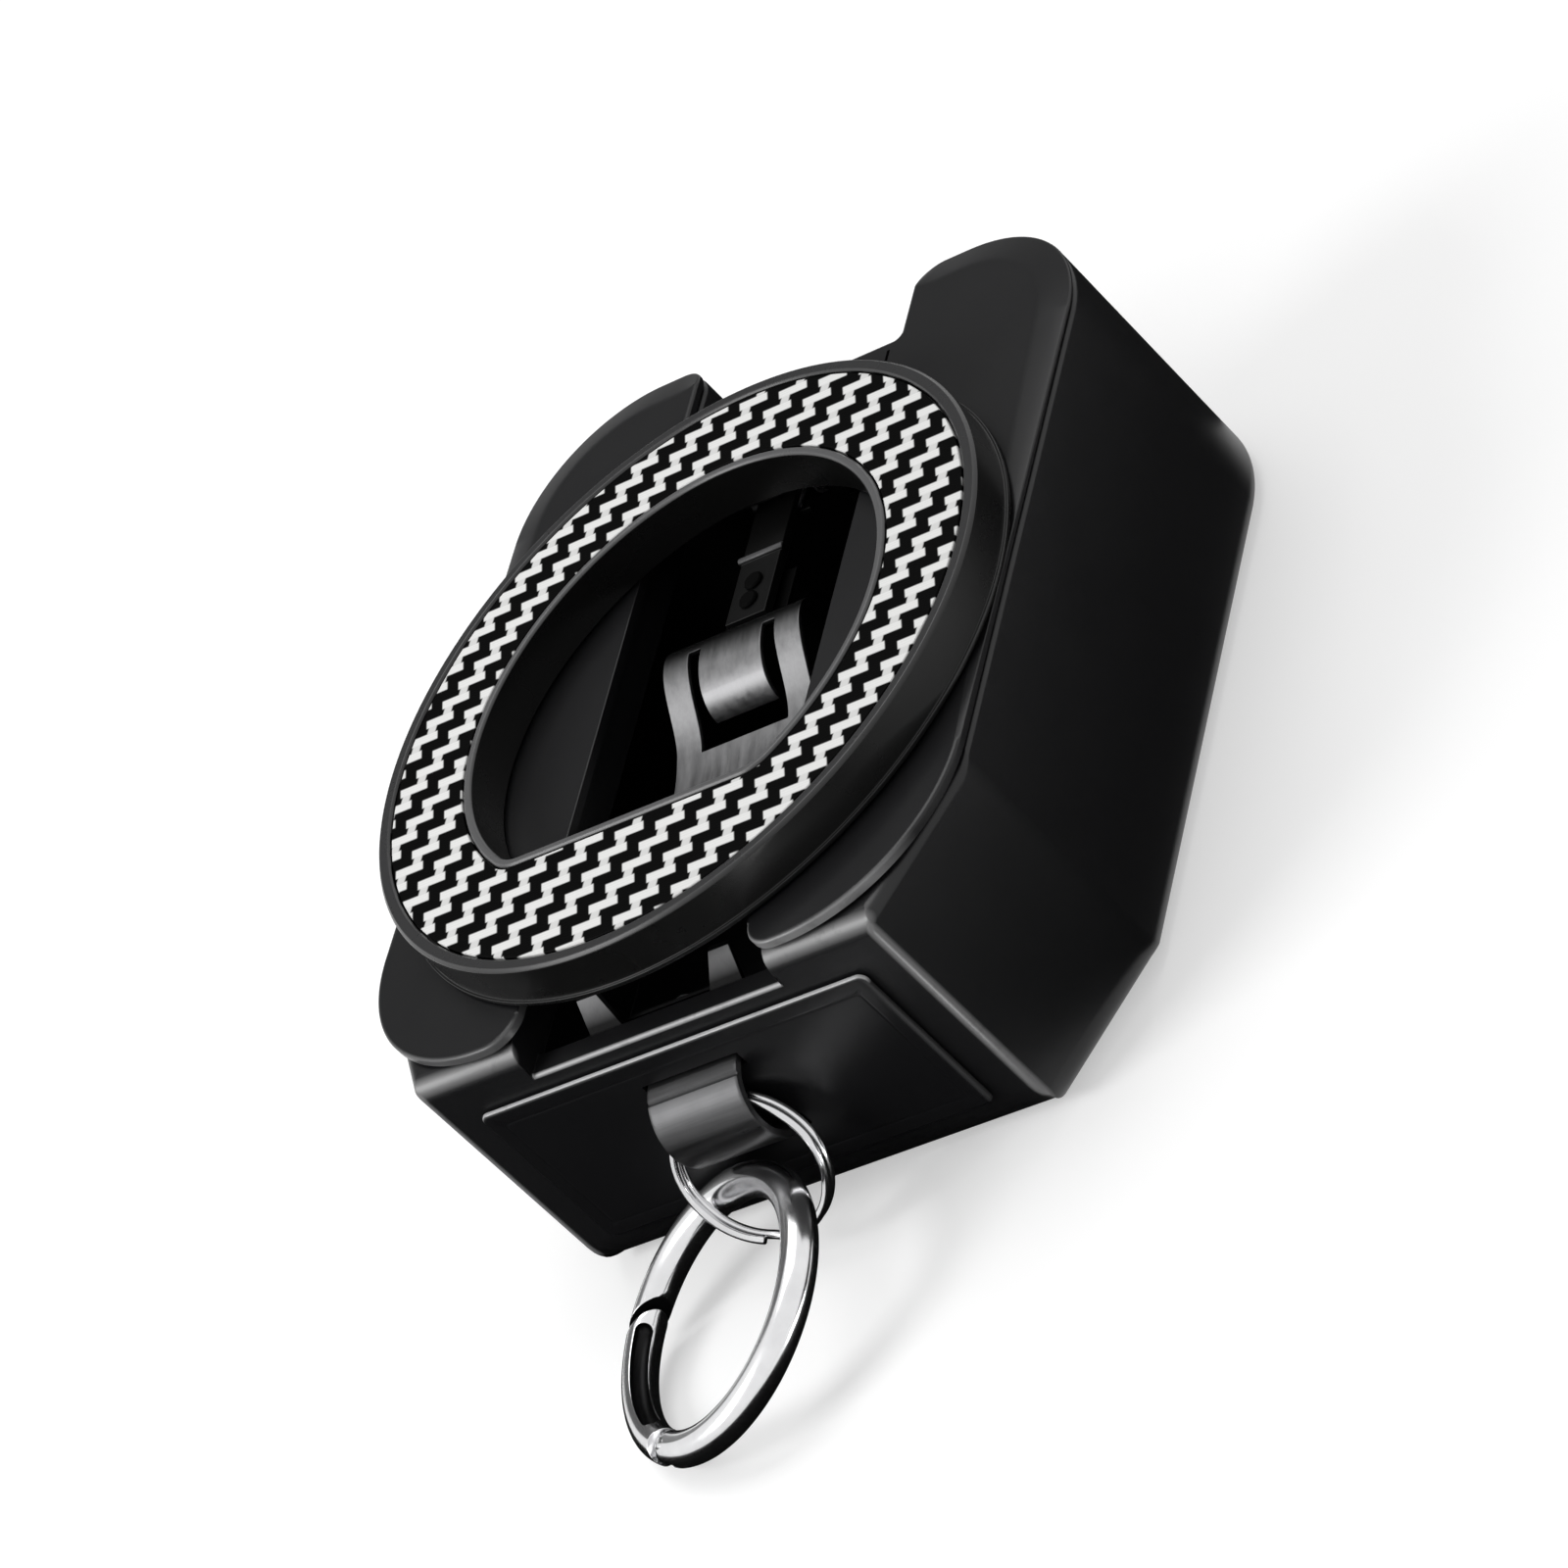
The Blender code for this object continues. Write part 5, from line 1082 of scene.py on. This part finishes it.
bar_radius, bar_thick, link_gap = 12.27, 1.65, 0.22
link, tilt, heading, tip_angle = radians(65.3), radians(-86.0), radians(32.5), radians(-71.5)
link_way = cos(link) * hang + sin(link) * split_side
press = cos(tilt) * link_way + sin(tilt) * split_normal
bar_normal = Vector((cos(heading) * cos(tip_angle), sin(heading) * cos(tip_angle), sin(tip_angle)))
wire_at_link = split_centre + link_way * split_radius + split_normal * half_stack
linked = wire_at_link - press * (split_wire + bar_thick + link_gap)
away = (press - bar_normal * press.dot(bar_normal)).normalized()
bar_frame = frame_of(-away, bar_normal.cross(-away), bar_normal, linked + away * bar_radius)
hinge, nose, nose_slant = radians(212.0), radians(294.0), -1.05
hinge_out, hinge_ahead = Vector((cos(hinge), sin(hinge), 0)), Vector((-sin(hinge), cos(hinge), 0))
pin_place = hinge_out * bar_radius
nose_gap = seat_gap * 4 / bar_radius / 2
body_sweep = 2 * pi - (nose - hinge) - nose_gap
body_turns = [nose + nose_gap + body_sweep * k / 150 for k in range(151)]
bar = bar_radius, bar_thick
gate_body = bent_bar("gate_body", *bar, body_turns, 40, bar_frame, domes=(0, 1), slants=(nose_slant, 0))
in_fork = bar_frame @ frame_of(hinge_ahead, -hinge_out, Vector((0, 0, 1)), pin_place)
knuckle_radius, knuckle_half, pin_bore, spring_bore = 1.35, 0.45, 0.57, 0.75
fork_depth, fork_gap = knuckle_radius + seat_gap, 1.5


def at_hinge(obj):
    """Sets a shape drawn about the gate's pin in its place on the ring."""
    obj.data.transform(Matrix.Scale(MM, 4) @ in_fork @ Matrix.Scale(1 / MM, 4))
    return obj


def pin_rod(radius, sides=24, half=5):
    """A rod on the gate pin's own line."""
    return rod((0, 0, -half), (0, 0, half), radius, sides)


cut(
    gate_body,
    at_hinge(block((-fork_depth, -4, -fork_gap / 2), (4, 4, fork_gap / 2))),
    at_hinge(pin_rod(pin_bore)),
)
bore_turns = (hinge - (fork_depth - 0.4) / bar_radius, hinge - (fork_depth + 3.6) / bar_radius)
bore_ends = [bar_frame @ (Vector((cos(turn), sin(turn), 0)) * bar_radius) for turn in bore_turns]
cut(gate_body, rod(*bore_ends, spring_bore, 24))
eased(gate_body, 0.04, 2, 50, 40)
chrome = plated("ring chrome", (0.66, 0.66, 0.67), (0.84, 0.84, 0.85), 0.14)
dressed(gate_body, chrome, "gate_ring", "chrome", "gate_ring")

gate_sweep = nose - hinge - nose_gap
gate_turns = [hinge + gate_sweep * k / 50 for k in range(1, 51)]
ring_gate = bent_bar("ring_gate", *bar, gate_turns, 40, bar_frame, slants=(0, nose_slant))
cut(ring_gate, at_hinge(pin_rod(bar_thick + seat_gap, 64)))
knuckle = pin_rod(knuckle_radius, 48, knuckle_half)
web_low, web_high, web_half, web_long = -1.16, 1.08, 0.436, bar_thick + seat_gap + 1.1
add(knuckle, block((0, web_low, -web_half), (web_long, web_high, web_half)))
cut(knuckle, pin_rod(pin_bore))
add(ring_gate, at_hinge(knuckle))
# The gate is hollowed along its inner side. The hollow and the two faces at the nose take the blackened
# finish as painted shade.
hollow_way, hollow_deep, hollow_round = radians(-142), 1.22, 0.84
hollow_first, hollow_last = radians(233), radians(288.5)
hollow_turns = [hollow_first + (hollow_last - hollow_first) * k / 40 for k in range(41)]
scoop_radius, scoop_side = bar_radius + hollow_deep * cos(hollow_way), hollow_deep * sin(hollow_way)
scoop = scoop_radius, hollow_round, hollow_turns, 28, bar_frame
cut(ring_gate, bent_bar("scoop", *scoop, rise=lambda turn: scoop_side, domes=(1, 1)))
eased(ring_gate, 0.04, 2, 50, 40)
dressed(ring_gate, chrome, "gate", "chrome", "gate")
to_ring = bar_frame.inverted()
# Painted shade: the hollow's faces and the nose faces take the blackened steel finish.
for piece in (gate_body, ring_gate):
    piece.data.materials.append(blackened)
    for face in piece.data.polygons:
        spot = to_ring @ (face.center / MM)
        turn = atan2(spot.y, spot.x) % (2 * pi)
        inward = sqrt((sqrt(spot.x**2 + spot.y**2) - bar_radius) ** 2 + spot.z**2)
        hollow = hollow_first - 0.1 < turn < hollow_last + 0.08 and inward < bar_thick * 0.93
        nose_face = abs(turn - nose) < radians(12) and inward < bar_thick * 0.9
        face.material_index = int(hollow or nose_face)
taken_over(["gate_pin"], 0.05, chrome, "gate_ring", "chrome")
taken_over(["gate_plunger", "gate_spring"], 0.02, screw_zinc, "gate_ring", "screw")

# ---------------------------------------------------------------------------
# Studio. A pale floor under the case, soft even light, and the camera in front of the case's
# lower right corner.


def rays(tree, *kinds):
    """1 for rays of these kinds, 0 for all others."""
    path, share = tree.nodes.new("ShaderNodeLightPath"), 0.0
    for kind in kinds:
        share = reckon(tree, "MAXIMUM", path.outputs[f"Is {kind} Ray"], share)
    return share


pale, tree, shader = bare("pale floor", 0.0, 0.0, Roughness=0.9, Emission_Strength=1.0)
shown = rays(tree, "Camera", "Glossy")
paint = between(tree, shown, (0.80, 0.80, 0.80), (0.62, 0.62, 0.62))
tree.links.new(paint, shader.inputs["Base Color"])
# The far floor gets less of the lamps, so it glows more there.
far = wired(tree, "ShaderNodeVectorMath", {"operation": "LENGTH"}, n0=place_on(tree)).outputs["Value"]
glow = ramp(tree, far, 0.35, 1.6, 0.46, 0.80)
tree.links.new(reckon(tree, "MULTIPLY", shown, glow), shader.inputs["Emission Color"])
bm = bmesh.new()
bmesh.ops.create_circle(bm, cap_ends=True, segments=96, radius=6000)
floor = solid("floor", bm)
floor.location.z = -0.00006
floor.data.materials.append(pale)

world = bpy.data.worlds.new("studio")
bpy.context.scene.world = world
world.use_nodes = True
tree = world.node_tree
tree.nodes.clear()
strength = between(tree, rays(tree, "Camera", "Glossy", "Transmission"), 0.42, 1.0)
backdrop = wired(tree, "ShaderNodeBackground", Color=(1.0, 1.0, 1.0, 1.0), Strength=strength)
out = tree.nodes.new("ShaderNodeOutputWorld")
tree.links.new(backdrop.outputs[0], out.inputs["Surface"])


def softbox(name, place, target, size, power):
    """A square soft lamp that looks at a point. Its places and its size are in metres."""
    lamp = bpy.data.lights.new(name, "AREA")
    lamp.shape, lamp.size, lamp.size_y, lamp.energy = "RECTANGLE", size, size, power
    obj = bpy.data.objects.new(name, lamp)
    bpy.context.scene.collection.objects.link(obj)
    obj.location = place
    obj.rotation_euler = (Vector(target) - Vector(place)).to_track_quat("-Z", "Y").to_euler()


softbox("key", (-0.42, -0.36, 0.46), (0, -0.01, 0.015), 0.30, 2.4)
softbox("top", (-0.10, 0.30, 0.80), (0, 0, 0), 0.6, 2.7)


def card(name, points, tone, strength=1.0):
    """A flat card that only reflections see."""
    shine = {"Emission_Color": (tone, tone, tone, 1.0), "Emission_Strength": strength}
    material = bare(name + " card", 0.0, 0.0, Base_Color=(0.0, 0.0, 0.0, 1.0), **shine)[0]
    bm = bmesh.new()
    bm.faces.new([bm.verts.new(point) for point in points])
    sheet = solid(name, bm)
    sheet.data.materials.append(material)
    for ray in ("camera", "diffuse", "transmission", "shadow", "volume_scatter"):
        setattr(sheet, "visible_" + ray, False)


def low_card(name, corners, tone=0.004, strength=1.0, level=-0.04):
    """A card lying flat at the floor, its corners as (x, y)."""
    card(name, [(x, y, level) for x, y in corners], tone, strength)


# Cards for the reflections: dark ones beside and behind the case, a bright one before its foot.
low_card("left", [(-150, -170), (24, -170), (24, -30), (-150, -30)])
low_card("right", [(28, -57), (44, -92), (84, -92), (84, 260), (34.3, 260), (34.3, -42)])
low_card("head", [(-80, 43), (34.3, 43), (34.3, 220), (-80, 220)])
low_card("corner strip", [(27.3, -56), (31.5, -80), (42, -79.5)], 1.0, 24.0, -0.02)


def hung_card(name, way, distance, width, height, tone, strength=1.0):
    """A card hung square to a direction seen from the case."""
    way = Vector(way).normalized()
    across = way.cross(Vector((0, 0, 1))).normalized()
    up = across.cross(way)
    middle = way * distance
    corners = ((-1, -1), (1, -1), (1, 1), (-1, 1))
    points = [middle + across * width / 2 * a + up * height / 2 * b for a, b in corners]
    card(name, points, tone, strength)


hung_card("sky", (-0.543, 0.599, 0.588), 600, 620, 370, 0.12)
hung_card("low sky", (-0.658, 0.726, 0.199), 600, 620, 150, 0.26)
hung_card("edge strip", (-0.58, -0.50, 0.64), 640, 260, 300, 1.0, 5.0)

camera_data = bpy.data.cameras.new("camera")
camera_data.lens, camera_data.sensor_width = 167.24, 36.0
camera_data.clip_start, camera_data.clip_end = 0.05, 50.0
camera = bpy.data.objects.new("camera", camera_data)
bpy.context.scene.collection.objects.link(camera)
sight = ((0.75692, 0.19466, -0.62384), (0.30074, 0.74376, 0.59698), (0.58019, -0.63948, 0.50442))
camera_place = Vector((0.37485, -0.42070, 0.34416))
camera.matrix_world = frame_of(*[Vector(axis) for axis in sight], camera_place)
bpy.context.scene.camera = camera
bpy.context.scene.view_settings.view_transform = "Standard"
